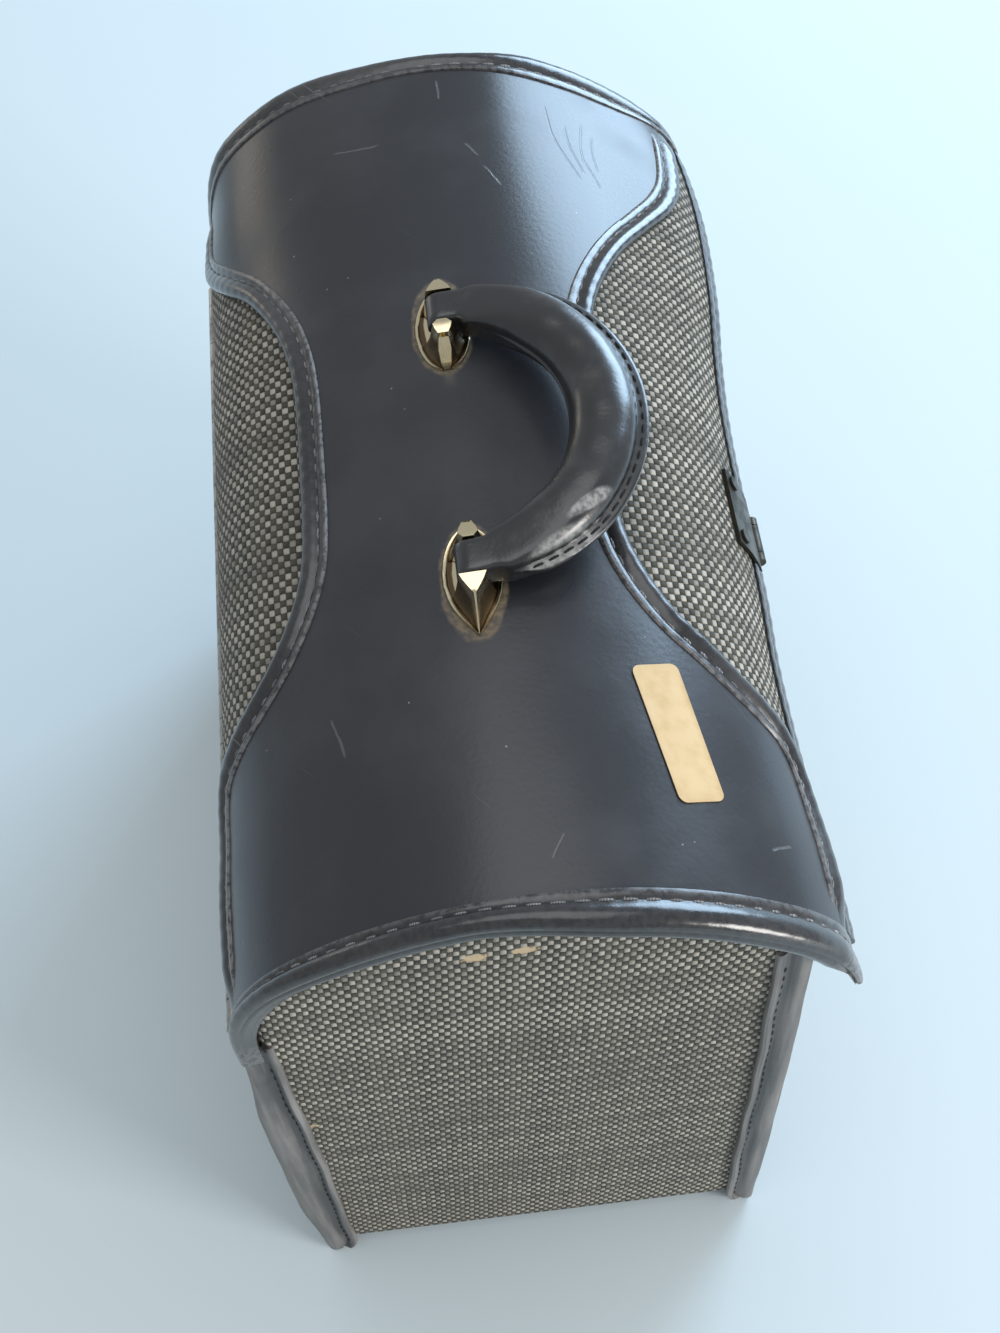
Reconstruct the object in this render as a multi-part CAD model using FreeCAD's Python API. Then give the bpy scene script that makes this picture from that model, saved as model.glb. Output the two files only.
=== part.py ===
import FreeCAD
import Part
import math
import os

# Frame: +X is the front with the lock, -X the back with the hinge, Y runs along the case, +Z is up.
# The origin is the middle of the underside. Lengths are in mm, angles in degrees.

# Case body, measured over the tweed
BODY_WIDTH = 200.0
BODY_LENGTH = 392.0
BACK_HEIGHT = 261.0
FRONT_RISE = 40.0
BASE_BAND = 4.0

# Thicknesses of the materials, and the gap left by glue
TWEED = 1.2
BOARD = 4.0
LINING = 0.8
VINYL = 1.0
GLUE = 0.2

# Lid: a three-arc arch over the case, ending in a short straight lip above the spring at the front
LID_END_OVERHANG = 13.0
LID_BACK_OVERHANG = 1.4
LID_FRONT_OVERHANG = 15.0
ARCH_SPRING_RISE = 17.0
ARCH_RISE = 87.5
SHOULDER_SHARE = 0.846
LIP_ABOVE_SPRING = 18.0
LIP_STRAIGHT = 4.0
LID_BOARD = 3.0
LID_CLEARANCE = 1.5

# Saddle: the waisted vinyl panel on the lid
SADDLE_WAIST = 57.0
SADDLE_SIDE_INSET = 8.0
SADDLE_WAIST_END = 42.0
SADDLE_FLARE_END = 150.0
SADDLE_FLARE_START_PULL = 0.5
SADDLE_FLARE_END_PULL = 0.4
SADDLE_BINDING_WIDTH = 11.0
SADDLE_SIDE_BINDING_WIDTH = 6.0
SADDLE_BINDING_HEIGHT = 2.6

# Vinyl bindings folded over the edges
BINDING = 1.4
CORNER_LEG = 12.0
CORNER_TOP_GAP = 2.0
EDGE_OUTER_LEG = 14.0
EDGE_INNER_LEG = 8.0
EDGE_BINDING_HEIGHT = 2.4
RIM_LEG = 9.0
LIP_LEG = 10.0

# Hinge along the back
HINGE_OUTSET = 4.5
HINGE_LEAF = 1.0
HINGE_GAP = 0.4
HINGE_LEAF_DEPTH = 16.0
HINGE_END_GAP = 10.0
KNUCKLE_COUNT = 31
KNUCKLE_RADIUS = 2.4
KNUCKLE_CLEARANCE = 0.4
HINGE_PIN_RADIUS = 1.2
RUNNING_FIT = 0.06
RAIL = 10.0
NAIL_RADIUS = 0.9
NAIL_LENGTH = 7.0
NAIL_COUNT = 6

# Handle, in its own plane, and the angle at which it comes to rest
HANDLE_X = 0.0
HANDLE_Y = -14.0
POST_HALF_SPAN = 58.7
PIVOT_HEIGHT = 9.0
HANDLE_REST = 5.0
GRIP_REACH = 54.0
GRIP_WIDTH = 24.0
GRIP_END_WIDTH = 15.0
GRIP_THICKNESS = 21.0
GRIP_END_THICKNESS = 11.0
GRIP_STEPS = 14
GRIP_START = 12.0
GRIP_SWELL_POWER = 0.7
SEAM_WIDTH = 3.5
SEAM_THICKNESS = 2.6
SEAM_FADE_POWER = 0.5
CORE_RADIUS = 2.5
CORE_STEPS = 24
TAB_WIDTH = 14.4
TAB_RADIUS = 5.5

# Brass fittings that carry the handle
EAR_GAP = 15.2
EAR_HEIGHT = 14.0
EAR_HALF_WIDTH = 6.5
EAR_TOP_HALF_WIDTH = 4.6
EAR_TOP_LENGTH = 8.5
INNER_EAR_TOP_LENGTH = 5.0
EAR_TOP_FALL = 2.0
FITTING_HALF_WIDTH = 10.8
FITTING_OUTER = 24.5
FITTING_INNER = 21.2
FITTING_RIM = 2.2
FITTING_BEVEL = 0.86
FITTING_SWELL = 0.68
HANDLE_PIN_RADIUS = 2.0
PRESS_FIT = 0.02

# Rivets and the plates behind them
RIVET_RADIUS = 1.5
RIVET_HOLE = 1.55
RIVET_HEAD = 3.0
RIVET_HEAD_HEIGHT = 1.0
RIVET_DEPTH = 3.0
BACKPLATE = 1.2
BACKPLATE_HALF_WIDTH = 9.0
POST_BACKPLATE = 2.4

# Paper label on the lid
LABEL_LENGTH = 53.0
LABEL_WIDTH = 16.5
LABEL_FRONT_INSET = 38.0
LABEL_END_INSET = 60.0
LABEL_TURN = 9.0
LABEL_THICKNESS = 0.25
LABEL_CORNER = 3.0

# Lock case on the front, below the lip
LOCK_Y = -18.5
LOCK_WIDTH = 52.0
LOCK_BELOW_LIP = 27.0
LOCK_HEIGHT = 38.0
LOCK_DEPTH = 13.5
LOCK_WALL = 1.2
LOCK_CLEARANCE = 0.3
LOCK_RIVET_INSET = 4.0
NOTCH_WIDTH = 9.0
NOTCH_HEIGHT = 32.5

# Hasp that hangs from the lip and carries the staple
HASP_WIDTH = 16.0
HASP_THICKNESS = 2.0
HASP_GAP = 0.5
HASP_TAIL = 8.0
HASP_PLATE_WIDTH = 36.0
HASP_PLATE_HEIGHT = 20.0
HASP_PLATE_THICKNESS = 1.5
HASP_PLATE_CLEARANCE = 0.1
HASP_KNUCKLE_RADIUS = 2.6
HASP_KNUCKLE_WIDTH = 13.0
HASP_PIN_RADIUS = 1.1
HASP_RIVET_SPACING = 26.0
HASP_RIVET_HEIGHT = 15.0
HASP_BACKPLATE_HEIGHT = 8.0
HASP_AXIS_OUTSET = 0.85
STAPLE_WIDTH = 6.0
STAPLE_ROOT = 2.4
STAPLE_REACH = 8.5

# Key barrel, and the cam arm on its tail that turns into the staple
BARREL_RADIUS = 4.2
BARREL_FLANGE_RADIUS = 4.8
BARREL_PROUD = 0.6
BARREL_OFFSET_Y = 13.0
BARREL_DROP = 24.0
BARREL_BACK = 9.5
BARREL_TAIL_RADIUS = 1.6
CAM_THICKNESS = 1.6
CAM_HALF_WIDTH = 1.9
CAM_EYE_RADIUS = 3.2
CAM_REACH = 16.0
KEYWAY_WIDTH = 1.2
KEYWAY_HEIGHT = 4.4
KEYWAY_DEPTH = 2.0

# Places worked out from the sizes above
HALF_WIDTH = BODY_WIDTH / 2
HALF_LENGTH = BODY_LENGTH / 2
HALF_LID = HALF_LENGTH + LID_END_OVERHANG
FRONT_HEIGHT = BACK_HEIGHT + FRONT_RISE
ARCH_CENTRE_X = (LID_FRONT_OVERHANG - LID_BACK_OVERHANG) / 2
ARCH_HALF_SPAN = HALF_WIDTH + (LID_FRONT_OVERHANG + LID_BACK_OVERHANG) / 2
ARCH_SPRING_Z = BACK_HEIGHT + ARCH_SPRING_RISE
BOARD_X = HALF_WIDTH - TWEED
BOARD_Y = HALF_LENGTH - TWEED
WALL_X = BOARD_X - BOARD
WALL_Y = BOARD_Y - BOARD
FLOOR_Z = TWEED + BOARD
LID_LEFT = ARCH_CENTRE_X - ARCH_HALF_SPAN
LID_RIGHT = ARCH_CENTRE_X + ARCH_HALF_SPAN
LID_BACK_Z = BACK_HEIGHT + 2 * HINGE_LEAF + HINGE_GAP
HINGE_LENGTH = BODY_LENGTH - 2 * HINGE_END_GAP
HINGE_X = -HALF_WIDTH - HINGE_OUTSET
HINGE_Z = BACK_HEIGHT + HINGE_LEAF + HINGE_GAP / 2
SHOULDER_RADIUS = SHOULDER_SHARE * ARCH_RISE
SHOULDER_OFFSET = ARCH_HALF_SPAN - SHOULDER_RADIUS
CROWN_SQUARES = ARCH_RISE ** 2 + SHOULDER_OFFSET ** 2 - SHOULDER_RADIUS ** 2
CROWN_RADIUS = CROWN_SQUARES / (2 * (ARCH_RISE - SHOULDER_RADIUS))
CROWN_CENTRE_Z = ARCH_SPRING_Z + ARCH_RISE - CROWN_RADIUS
CROWN_Z = ARCH_SPRING_Z + ARCH_RISE
TANGENT_ANGLE = math.degrees(math.atan2(CROWN_RADIUS - ARCH_RISE, SHOULDER_OFFSET))
BOARD_OUTER = -TWEED - GLUE
BOARD_INNER = BOARD_OUTER - LID_BOARD
LINING_OUTER = BOARD_INNER - GLUE
LID_INNER = LINING_OUTER - LINING
PANEL_TOP = GLUE + VINYL
END_ARCH = LID_INNER - LID_CLEARANCE
EDGE_START = HALF_LID - EDGE_OUTER_LEG - GLUE
RAIL_TOP_Z = LID_BACK_Z + RAIL + GLUE
POST_BASE_RADIUS = CROWN_RADIUS + PANEL_TOP
POST_BASE_Z = CROWN_CENTRE_Z + math.sqrt(POST_BASE_RADIUS ** 2 - (HANDLE_X - ARCH_CENTRE_X) ** 2)
POST_PLATE_Z = POST_BASE_Z - PANEL_TOP + LID_INNER - POST_BACKPLATE
PIVOT_Z = POST_BASE_Z + PIVOT_HEIGHT
LIP_SLOPE = math.radians(LIP_ABOVE_SPRING)
LIP_END_Z = ARCH_SPRING_Z + SHOULDER_RADIUS * math.sin(LIP_SLOPE) - LIP_STRAIGHT * math.cos(LIP_SLOPE)
LOCK_TOP = LIP_END_Z - LOCK_BELOW_LIP
LOCK_FRONT = HALF_WIDTH + LOCK_DEPTH
LOCK_BOTTOM = LOCK_TOP - LOCK_HEIGHT
BARREL_Y = LOCK_Y + BARREL_OFFSET_Y
BARREL_Z = LOCK_TOP - BARREL_DROP
BARREL_BACK_X = HALF_WIDTH + BARREL_BACK
CAM_BACK_X = BARREL_BACK_X - CAM_THICKNESS
HASP_INNER_X = LOCK_FRONT + HASP_GAP
HASP_AXIS_DROP = LIP_STRAIGHT + BINDING + KNUCKLE_CLEARANCE + HASP_KNUCKLE_RADIUS
HASP_AXIS_RADIUS = SHOULDER_RADIUS + HASP_AXIS_OUTSET
SHOULDER_X = ARCH_CENTRE_X + SHOULDER_OFFSET
HASP_AXIS_X = SHOULDER_X + HASP_AXIS_RADIUS * math.cos(LIP_SLOPE) + HASP_AXIS_DROP * math.sin(LIP_SLOPE)
HASP_AXIS_Z = ARCH_SPRING_Z + HASP_AXIS_RADIUS * math.sin(LIP_SLOPE) - HASP_AXIS_DROP * math.cos(LIP_SLOPE)
HASP_RIVET_OUTER = HASP_PLATE_CLEARANCE + HASP_PLATE_THICKNESS
HASP_RIVET_INNER = LID_INNER - GLUE - BACKPLATE - HASP_PLATE_CLEARANCE
HASP_RIVET_ANGLE = LIP_ABOVE_SPRING + math.degrees(HASP_RIVET_HEIGHT / SHOULDER_RADIUS)
X_AXIS = FreeCAD.Vector(1, 0, 0)
Y_AXIS = FreeCAD.Vector(0, 1, 0)
Z_AXIS = FreeCAD.Vector(0, 0, 1)


def vector(x, y, z):
    return FreeCAD.Vector(x, y, z)


def block(x_span, y_span, z_span):
    """Box between two values on each axis."""
    corner = vector(x_span[0], y_span[0], z_span[0])
    return Part.makeBox(x_span[1] - x_span[0], y_span[1] - y_span[0], z_span[1] - z_span[0], corner)


def rod(radius, start, direction, length):
    return Part.makeCylinder(radius, length, start, direction)


def around(middle, width):
    return middle - width / 2, middle + width / 2


def prism_y(points, y_span):
    """Solid with a polygon of (x, z) points as its section, run along Y."""
    corners = [vector(x, y_span[0], z) for x, z in points]
    face = Part.Face(Part.makePolygon(corners + corners[:1]))
    return face.extrude(vector(0, y_span[1] - y_span[0], 0))


def mirror_y(shape, y=0.0):
    return shape.mirror(vector(0, y, 0), Y_AXIS)


def export(name, *solids):
    """Write one node: a single solid, or a group of separate ones."""
    shape = solids[0] if len(solids) == 1 else Part.makeCompound(list(solids))
    shape.exportStep("parts/" + name + ".step")


def polar(centre_x, centre_z, radius, angle):
    turn = math.radians(angle)
    return centre_x + radius * math.cos(turn), centre_z + radius * math.sin(turn)


# Lid section


def shoulder_point(offset, angle):
    """Point on the front shoulder, moved out by offset, at an angle above the spring."""
    return polar(SHOULDER_X, ARCH_SPRING_Z, SHOULDER_RADIUS + offset, angle)


def lip_point(offset, along):
    """Point on the straight lip, moved out by offset and down its slope by along."""
    x, z = shoulder_point(offset, LIP_ABOVE_SPRING)
    return x + along * math.sin(LIP_SLOPE), z - along * math.cos(LIP_SLOPE)


def lip_wedge(reach, y_span):
    """Solid round the lip, and round the front shoulder as far as reach above the lip."""
    top = LIP_ABOVE_SPRING + math.degrees(reach / SHOULDER_RADIUS)
    centre = (SHOULDER_X, ARCH_SPRING_Z)
    return prism_y([centre, lip_point(reach, reach), shoulder_point(reach, top)], y_span)


def arch_edges(offset, y, back_z):
    """Lid section moved out by offset: back side, shoulder, crown, front shoulder, and lip."""
    left = ARCH_CENTRE_X - SHOULDER_OFFSET
    shoulder = SHOULDER_RADIUS + offset
    crown = CROWN_RADIUS + offset

    def at(point):
        return vector(point[0], y, point[1])

    foot = vector(left - shoulder, y, back_z)
    spring = vector(left - shoulder, y, ARCH_SPRING_Z)
    left_middle = at(polar(left, ARCH_SPRING_Z, shoulder, 180.0 - TANGENT_ANGLE / 2))
    left_join = at(polar(ARCH_CENTRE_X, CROWN_CENTRE_Z, crown, 180.0 - TANGENT_ANGLE))
    top = vector(ARCH_CENTRE_X, y, CROWN_CENTRE_Z + crown)
    right_join = at(polar(ARCH_CENTRE_X, CROWN_CENTRE_Z, crown, TANGENT_ANGLE))
    right_middle = at(shoulder_point(offset, (TANGENT_ANGLE + LIP_ABOVE_SPRING) / 2))
    lip_top = at(lip_point(offset, 0.0))
    lip_end = at(lip_point(offset, LIP_STRAIGHT))
    return [
        Part.makeLine(foot, spring),
        Part.Arc(spring, left_middle, left_join).toShape(),
        Part.Arc(left_join, top, right_join).toShape(),
        Part.Arc(right_join, right_middle, lip_top).toShape(),
        Part.makeLine(lip_top, lip_end),
    ]


def arch_ends(offset, y, back_z):
    lip_x, lip_z = lip_point(offset, LIP_STRAIGHT)
    return vector(LID_LEFT - offset, y, back_z), vector(lip_x, y, lip_z)


def run_along_y(edges, y_span):
    face = Part.Face(Part.Wire(Part.__sortEdges__(edges)))
    return face.extrude(vector(0, y_span[1] - y_span[0], 0))


def arch_band(inner, outer, y_span, back_z=LID_BACK_Z):
    """Curved sheet of the lid between two offsets from its outer tweed face."""
    inner_foot, inner_lip = arch_ends(inner, y_span[0], back_z)
    outer_foot, outer_lip = arch_ends(outer, y_span[0], back_z)
    edges = arch_edges(outer, y_span[0], back_z) + arch_edges(inner, y_span[0], back_z)
    edges += [Part.makeLine(inner_foot, outer_foot), Part.makeLine(inner_lip, outer_lip)]
    return run_along_y(edges, y_span)


def arch_fill(offset, y_span, back_z):
    """Everything under the arch at one offset, down to back_z."""
    foot, lip = arch_ends(offset, y_span[0], back_z)
    low_lip = vector(lip.x, lip.y, back_z)
    edges = arch_edges(offset, y_span[0], back_z)
    edges += [Part.makeLine(lip, low_lip), Part.makeLine(low_lip, foot)]
    return run_along_y(edges, y_span)


def plan_prism(edges):
    """Upright solid through the whole lid from a closed outline in plan."""
    face = Part.Face(Part.Wire(Part.__sortEdges__(edges)))
    return face.extrude(vector(0, 0, 2 * CROWN_Z))


# Case body


def end_panel(y_span, x_span, bottom):
    """Upright end sheet: its top follows the lid, and its front shoulder lets the lip swing past."""
    lip_x, lip_z = lip_point(LID_INNER - BINDING, LIP_STRAIGHT + BINDING)
    swing_radius = math.hypot(lip_x - HINGE_X, lip_z - HINGE_Z) - LID_CLEARANCE
    depth = y_span[1] - y_span[0]
    swing = rod(swing_radius, vector(HINGE_X, y_span[0], HINGE_Z), Y_AXIS, depth)
    below = block(x_span, y_span, (bottom, HINGE_Z))
    frame = block(x_span, y_span, (bottom, CROWN_Z))
    return arch_fill(END_ARCH, y_span, bottom).common(frame).common(swing.fuse(below)).removeSplitter()


def lock_rivet_places():
    offset_y = LOCK_WIDTH / 2 - LOCK_RIVET_INSET
    heights = (LOCK_BOTTOM + LOCK_RIVET_INSET, LOCK_TOP - LOCK_RIVET_INSET)
    return [(LOCK_Y + side * offset_y, z) for side in (-1, 1) for z in heights]


def lock_rivet_holes():
    start_x = WALL_X - LINING - BACKPLATE
    starts = [vector(start_x, y, z) for y, z in lock_rivet_places()]
    return Part.makeCompound([rod(RIVET_HOLE, start, X_AXIS, LOCK_FRONT - start_x) for start in starts])


def hinge_nails(start_z, direction):
    """Row of nails through a hinge leaf into its rail."""
    spacing = HINGE_LENGTH / NAIL_COUNT
    x = -WALL_X + RAIL / 2
    places = [(index + 0.5) * spacing - HINGE_LENGTH / 2 for index in range(NAIL_COUNT)]
    return [rod(NAIL_RADIUS, vector(x, y, start_z), direction, NAIL_LENGTH) for y in places]


def build_boards():
    export("base_board", block((-BOARD_X, BOARD_X), (-BOARD_Y, BOARD_Y), (TWEED, FLOOR_Z)))
    front = block((WALL_X, BOARD_X), (-BOARD_Y, BOARD_Y), (FLOOR_Z, FRONT_HEIGHT))
    export("front_board", front.cut(lock_rivet_holes()))
    export("back_board", block((-BOARD_X, -WALL_X), (-BOARD_Y, BOARD_Y), (FLOOR_Z, BACK_HEIGHT)))
    near = end_panel((-BOARD_Y, -WALL_Y), (-WALL_X, WALL_X), FLOOR_Z)
    export("near_end_board", near)
    export("far_end_board", mirror_y(near))


def build_covers():
    tray = block((-HALF_WIDTH, HALF_WIDTH), (-HALF_LENGTH, HALF_LENGTH), (0, BASE_BAND))
    export("base_cover", tray.cut(block((-BOARD_X, BOARD_X), (-BOARD_Y, BOARD_Y), (TWEED, BASE_BAND))))
    front = block((BOARD_X, HALF_WIDTH), (-HALF_LENGTH, HALF_LENGTH), (BASE_BAND, FRONT_HEIGHT))
    export("front_cover", front.cut(lock_rivet_holes()))
    back = block((-HALF_WIDTH, -BOARD_X), (-HALF_LENGTH, HALF_LENGTH), (BASE_BAND, BACK_HEIGHT))
    export("back_cover", back)
    y_span = (-HALF_LENGTH, -BOARD_Y)
    near = end_panel(y_span, (-BOARD_X, BOARD_X), BASE_BAND)
    near = near.fuse(block((-BOARD_X, BOARD_X), y_span, (BASE_BAND, BACK_HEIGHT))).removeSplitter()
    export("near_end_cover", near)
    export("far_end_cover", mirror_y(near))


def build_lining():
    inner_x = WALL_X - LINING
    inner_y = WALL_Y - LINING
    floor = block((-WALL_X, WALL_X), (-WALL_Y, WALL_Y), (FLOOR_Z, FLOOR_Z + LINING))
    front = block((inner_x, WALL_X), (-WALL_Y, WALL_Y), (FLOOR_Z, FRONT_HEIGHT))
    back = block((-WALL_X, -inner_x), (-WALL_Y, WALL_Y), (FLOOR_Z, BACK_HEIGHT - RAIL))
    near = end_panel((-WALL_Y, -inner_y), (-inner_x, inner_x), FLOOR_Z)
    lining = floor.fuse([front, back, near, mirror_y(near)]).removeSplitter()
    export("body_lining", lining.cut(lock_rivet_holes()))


def corner_binding(x_side, top):
    """Angle strip over the near corner on one side."""
    outer_x = HALF_WIDTH + BINDING
    outer_y = HALF_LENGTH + BINDING
    strip = block((HALF_WIDTH - CORNER_LEG, outer_x), (-outer_y, CORNER_LEG - HALF_LENGTH), (0, top))
    strip = strip.cut(block((0, HALF_WIDTH), (-HALF_LENGTH, 0), (0, top)))
    upright = [edge for edge in strip.Edges if edge.BoundBox.ZLength > top / 2]
    front = [edge for edge in upright if edge.CenterOfMass.x > HALF_WIDTH]
    corner = [edge for edge in front if edge.CenterOfMass.y < -HALF_LENGTH]
    strip = strip.makeFillet(BINDING, corner)
    return strip if x_side > 0 else strip.mirror(vector(0, 0, 0), X_AXIS)


def build_body_bindings():
    front = corner_binding(1, FRONT_HEIGHT)
    back = corner_binding(-1, BACK_HEIGHT - CORNER_TOP_GAP)
    export("near_front_binding", front)
    export("far_front_binding", mirror_y(front))
    export("near_back_binding", back)
    export("far_back_binding", mirror_y(back))
    outer = HALF_WIDTH
    inner = WALL_X - LINING
    low = FRONT_HEIGHT - RIM_LEG
    top = FRONT_HEIGHT + BINDING
    channel = [
        (outer, low), (outer + BINDING, low), (outer + BINDING, top), (inner - BINDING, top),
        (inner - BINDING, low), (inner, low), (inner, FRONT_HEIGHT), (outer, FRONT_HEIGHT),
    ]
    half_run = HALF_LENGTH - CORNER_LEG - GLUE
    export("front_rim_binding", prism_y(channel, (-half_run, half_run)))


# Hinge


def hinge_leaf(z_span, first, holes):
    """Leaf with every second knuckle, counted from first, bored for the pin."""
    start_x = HINGE_X + KNUCKLE_RADIUS + KNUCKLE_CLEARANCE
    pitch = HINGE_LENGTH / KNUCKLE_COUNT
    half = HINGE_LENGTH / 2
    plate = block((start_x, start_x + HINGE_LEAF_DEPTH), (-half, half), z_span)
    pieces = []
    for index in range(first, KNUCKLE_COUNT, 2):
        low = index * pitch - half + KNUCKLE_CLEARANCE / 2
        high = low + pitch - KNUCKLE_CLEARANCE
        pieces.append(block((HINGE_X, start_x), (low, high), z_span))
        pieces.append(rod(KNUCKLE_RADIUS, vector(HINGE_X, low, HINGE_Z), Y_AXIS, high - low))
    bore = rod(HINGE_PIN_RADIUS + RUNNING_FIT, vector(HINGE_X, -half, HINGE_Z), Y_AXIS, HINGE_LENGTH)
    return plate.fuse(pieces).removeSplitter().cut([bore] + holes)


def build_hinge():
    half = HINGE_LENGTH / 2
    body_leaf_top = BACK_HEIGHT + HINGE_LEAF
    lid_leaf_bottom = LID_BACK_Z - HINGE_LEAF
    body_nails = hinge_nails(body_leaf_top, -Z_AXIS)
    lid_nails = hinge_nails(lid_leaf_bottom, Z_AXIS)
    export("hinge_body_leaf", hinge_leaf((BACK_HEIGHT, body_leaf_top), 0, body_nails))
    export("hinge_lid_leaf", hinge_leaf((lid_leaf_bottom, LID_BACK_Z), 1, lid_nails))
    export("hinge_pin", rod(HINGE_PIN_RADIUS, vector(HINGE_X, -half, HINGE_Z), Y_AXIS, HINGE_LENGTH))
    body_rail = block((-WALL_X, RAIL - WALL_X), (-half, half), (BACK_HEIGHT - RAIL, BACK_HEIGHT))
    export("body_hinge_rail", body_rail.cut(body_nails))
    lid_rail_x = LID_LEFT - BOARD_INNER
    lid_rail = block((lid_rail_x, lid_rail_x + RAIL), (-half, half), (LID_BACK_Z, LID_BACK_Z + RAIL))
    export("lid_hinge_rail", lid_rail.cut(lid_nails))
    export("body_hinge_nails", *body_nails)
    export("lid_hinge_nails", *lid_nails)


# Lid sheets and bindings


def post_rivet_places():
    """Plan places of the rivets under both ears of both fittings."""
    ear = EAR_GAP / 2 + EAR_TOP_LENGTH / 2
    return [HANDLE_Y + side * POST_HALF_SPAN + step * ear for side in (-1, 1) for step in (-1, 1)]


def post_rivet_holes():
    length = POST_BASE_Z + RIVET_DEPTH - POST_PLATE_Z
    starts = [vector(HANDLE_X, y, POST_PLATE_Z) for y in post_rivet_places()]
    return Part.makeCompound([rod(RIVET_HOLE, start, Z_AXIS, length) for start in starts])


def hasp_rivet_places():
    return [LOCK_Y + side * HASP_RIVET_SPACING / 2 for side in (-1, 1)]


def hasp_rivet_rods(radius, inner, outer):
    """Rods square through the front shoulder at the hasp rivets, between two offsets."""
    start_x, start_z = shoulder_point(inner, HASP_RIVET_ANGLE)
    end_x, end_z = shoulder_point(outer, HASP_RIVET_ANGLE)
    direction = vector(end_x - start_x, 0, end_z - start_z)
    starts = [vector(start_x, y, start_z) for y in hasp_rivet_places()]
    return [rod(radius, start, direction, outer - inner) for start in starts]


def hasp_rivet_holes():
    return Part.makeCompound(hasp_rivet_rods(RIVET_HOLE, HASP_RIVET_INNER, HASP_RIVET_OUTER))


def saddle_edge(side_x, waist_x, y_end):
    """One long edge of the saddle: wide, drawn in at the waist, wide again."""
    run = SADDLE_FLARE_END - SADDLE_WAIST_END
    near_pull = SADDLE_WAIST_END + SADDLE_FLARE_START_PULL * run
    far_pull = SADDLE_FLARE_END - SADDLE_FLARE_END_PULL * run

    def flare(sign):
        curve = Part.BezierCurve()
        curve.setPoles([
            vector(side_x, sign * SADDLE_FLARE_END, 0),
            vector(side_x, sign * far_pull, 0),
            vector(waist_x, sign * near_pull, 0),
            vector(waist_x, sign * SADDLE_WAIST_END, 0),
        ])
        return curve.toShape()

    return [
        Part.makeLine(vector(side_x, -y_end, 0), vector(side_x, -SADDLE_FLARE_END, 0)),
        flare(-1),
        Part.makeLine(vector(waist_x, -SADDLE_WAIST_END, 0), vector(waist_x, SADDLE_WAIST_END, 0)),
        flare(1),
        Part.makeLine(vector(side_x, SADDLE_FLARE_END, 0), vector(side_x, y_end, 0)),
    ]


def between(first, second, y_end):
    """Upright solid between two long edges given as (side, waist) places."""
    edges = saddle_edge(first[0], first[1], y_end) + saddle_edge(second[0], second[1], y_end)
    for end in (-y_end, y_end):
        edges.append(Part.makeLine(vector(first[0], end, 0), vector(second[0], end, 0)))
    return plan_prism(edges)


def build_lid_sheets():
    holes = [post_rivet_holes(), hasp_rivet_holes()]
    half = HALF_LID - BINDING
    export("lid_tweed", arch_band(-TWEED, 0.0, (-half, half)).cut(holes))
    export("lid_board", arch_band(BOARD_INNER, BOARD_OUTER, (-half, half)).cut(holes))
    export("lid_lining", arch_band(LID_INNER, LINING_OUTER, (-half, half), RAIL_TOP_Z).cut(holes))


def build_saddle():
    front_outer = (LID_RIGHT - SADDLE_SIDE_INSET, HANDLE_X + SADDLE_WAIST)
    back_outer = (LID_LEFT + SADDLE_SIDE_INSET, HANDLE_X - SADDLE_WAIST)
    front_inner = (front_outer[0] - SADDLE_SIDE_BINDING_WIDTH, front_outer[1] - SADDLE_BINDING_WIDTH)
    back_inner = (back_outer[0] + SADDLE_SIDE_BINDING_WIDTH, back_outer[1] + SADDLE_BINDING_WIDTH)
    front_panel = (front_inner[0] - GLUE, front_inner[1] - GLUE)
    back_panel = (back_inner[0] + GLUE, back_inner[1] + GLUE)
    y_span = (-EDGE_START, EDGE_START)
    panel = arch_band(GLUE, PANEL_TOP, y_span).common(between(front_panel, back_panel, EDGE_START))
    export("saddle_panel", panel.cut(post_rivet_holes()))
    raised = arch_band(GLUE, GLUE + SADDLE_BINDING_HEIGHT, y_span)
    export("saddle_front_binding", raised.common(between(front_inner, front_outer, EDGE_START)))
    export("saddle_back_binding", raised.common(between(back_inner, back_outer, EDGE_START)))


def lip_leg(inner, outer, y_span):
    """One leg of the lip binding between two offsets, over the lip and the foot of the shoulder."""
    end = LIP_STRAIGHT + BINDING
    tail = [lip_point(inner, 0), lip_point(outer, 0), lip_point(outer, end), lip_point(inner, end)]
    leg = arch_band(inner, outer, y_span).common(lip_wedge(LIP_LEG, y_span))
    return leg.fuse(prism_y(tail, y_span)).removeSplitter()


def build_lid_bindings():
    top = GLUE + EDGE_BINDING_HEIGHT
    bottom = LID_INNER - GLUE - BINDING
    outer_leg = arch_band(GLUE, top, (-HALF_LID, EDGE_OUTER_LEG - HALF_LID))
    web = arch_band(bottom, top, (-HALF_LID, BINDING - HALF_LID))
    inner_leg = arch_band(bottom, LID_INNER - GLUE, (-HALF_LID, EDGE_INNER_LEG - HALF_LID))
    near = outer_leg.fuse([web, inner_leg]).removeSplitter()
    export("lid_near_binding", near)
    export("lid_far_binding", mirror_y(near))
    run = (-EDGE_START, EDGE_START)
    hasp_y = around(LOCK_Y, HASP_PLATE_WIDTH + 2 * GLUE)
    end = LIP_STRAIGHT + BINDING
    web = [
        lip_point(LID_INNER, LIP_STRAIGHT), lip_point(0, LIP_STRAIGHT),
        lip_point(0, end), lip_point(LID_INNER, end),
    ]
    legs = [
        lip_leg(LID_INNER - BINDING, LID_INNER, run),
        lip_leg(0, BINDING, (run[0], hasp_y[0])),
        lip_leg(0, BINDING, (hasp_y[1], run[1])),
    ]
    export("lid_lip_binding", prism_y(web, run).fuse(legs).removeSplitter())


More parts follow.
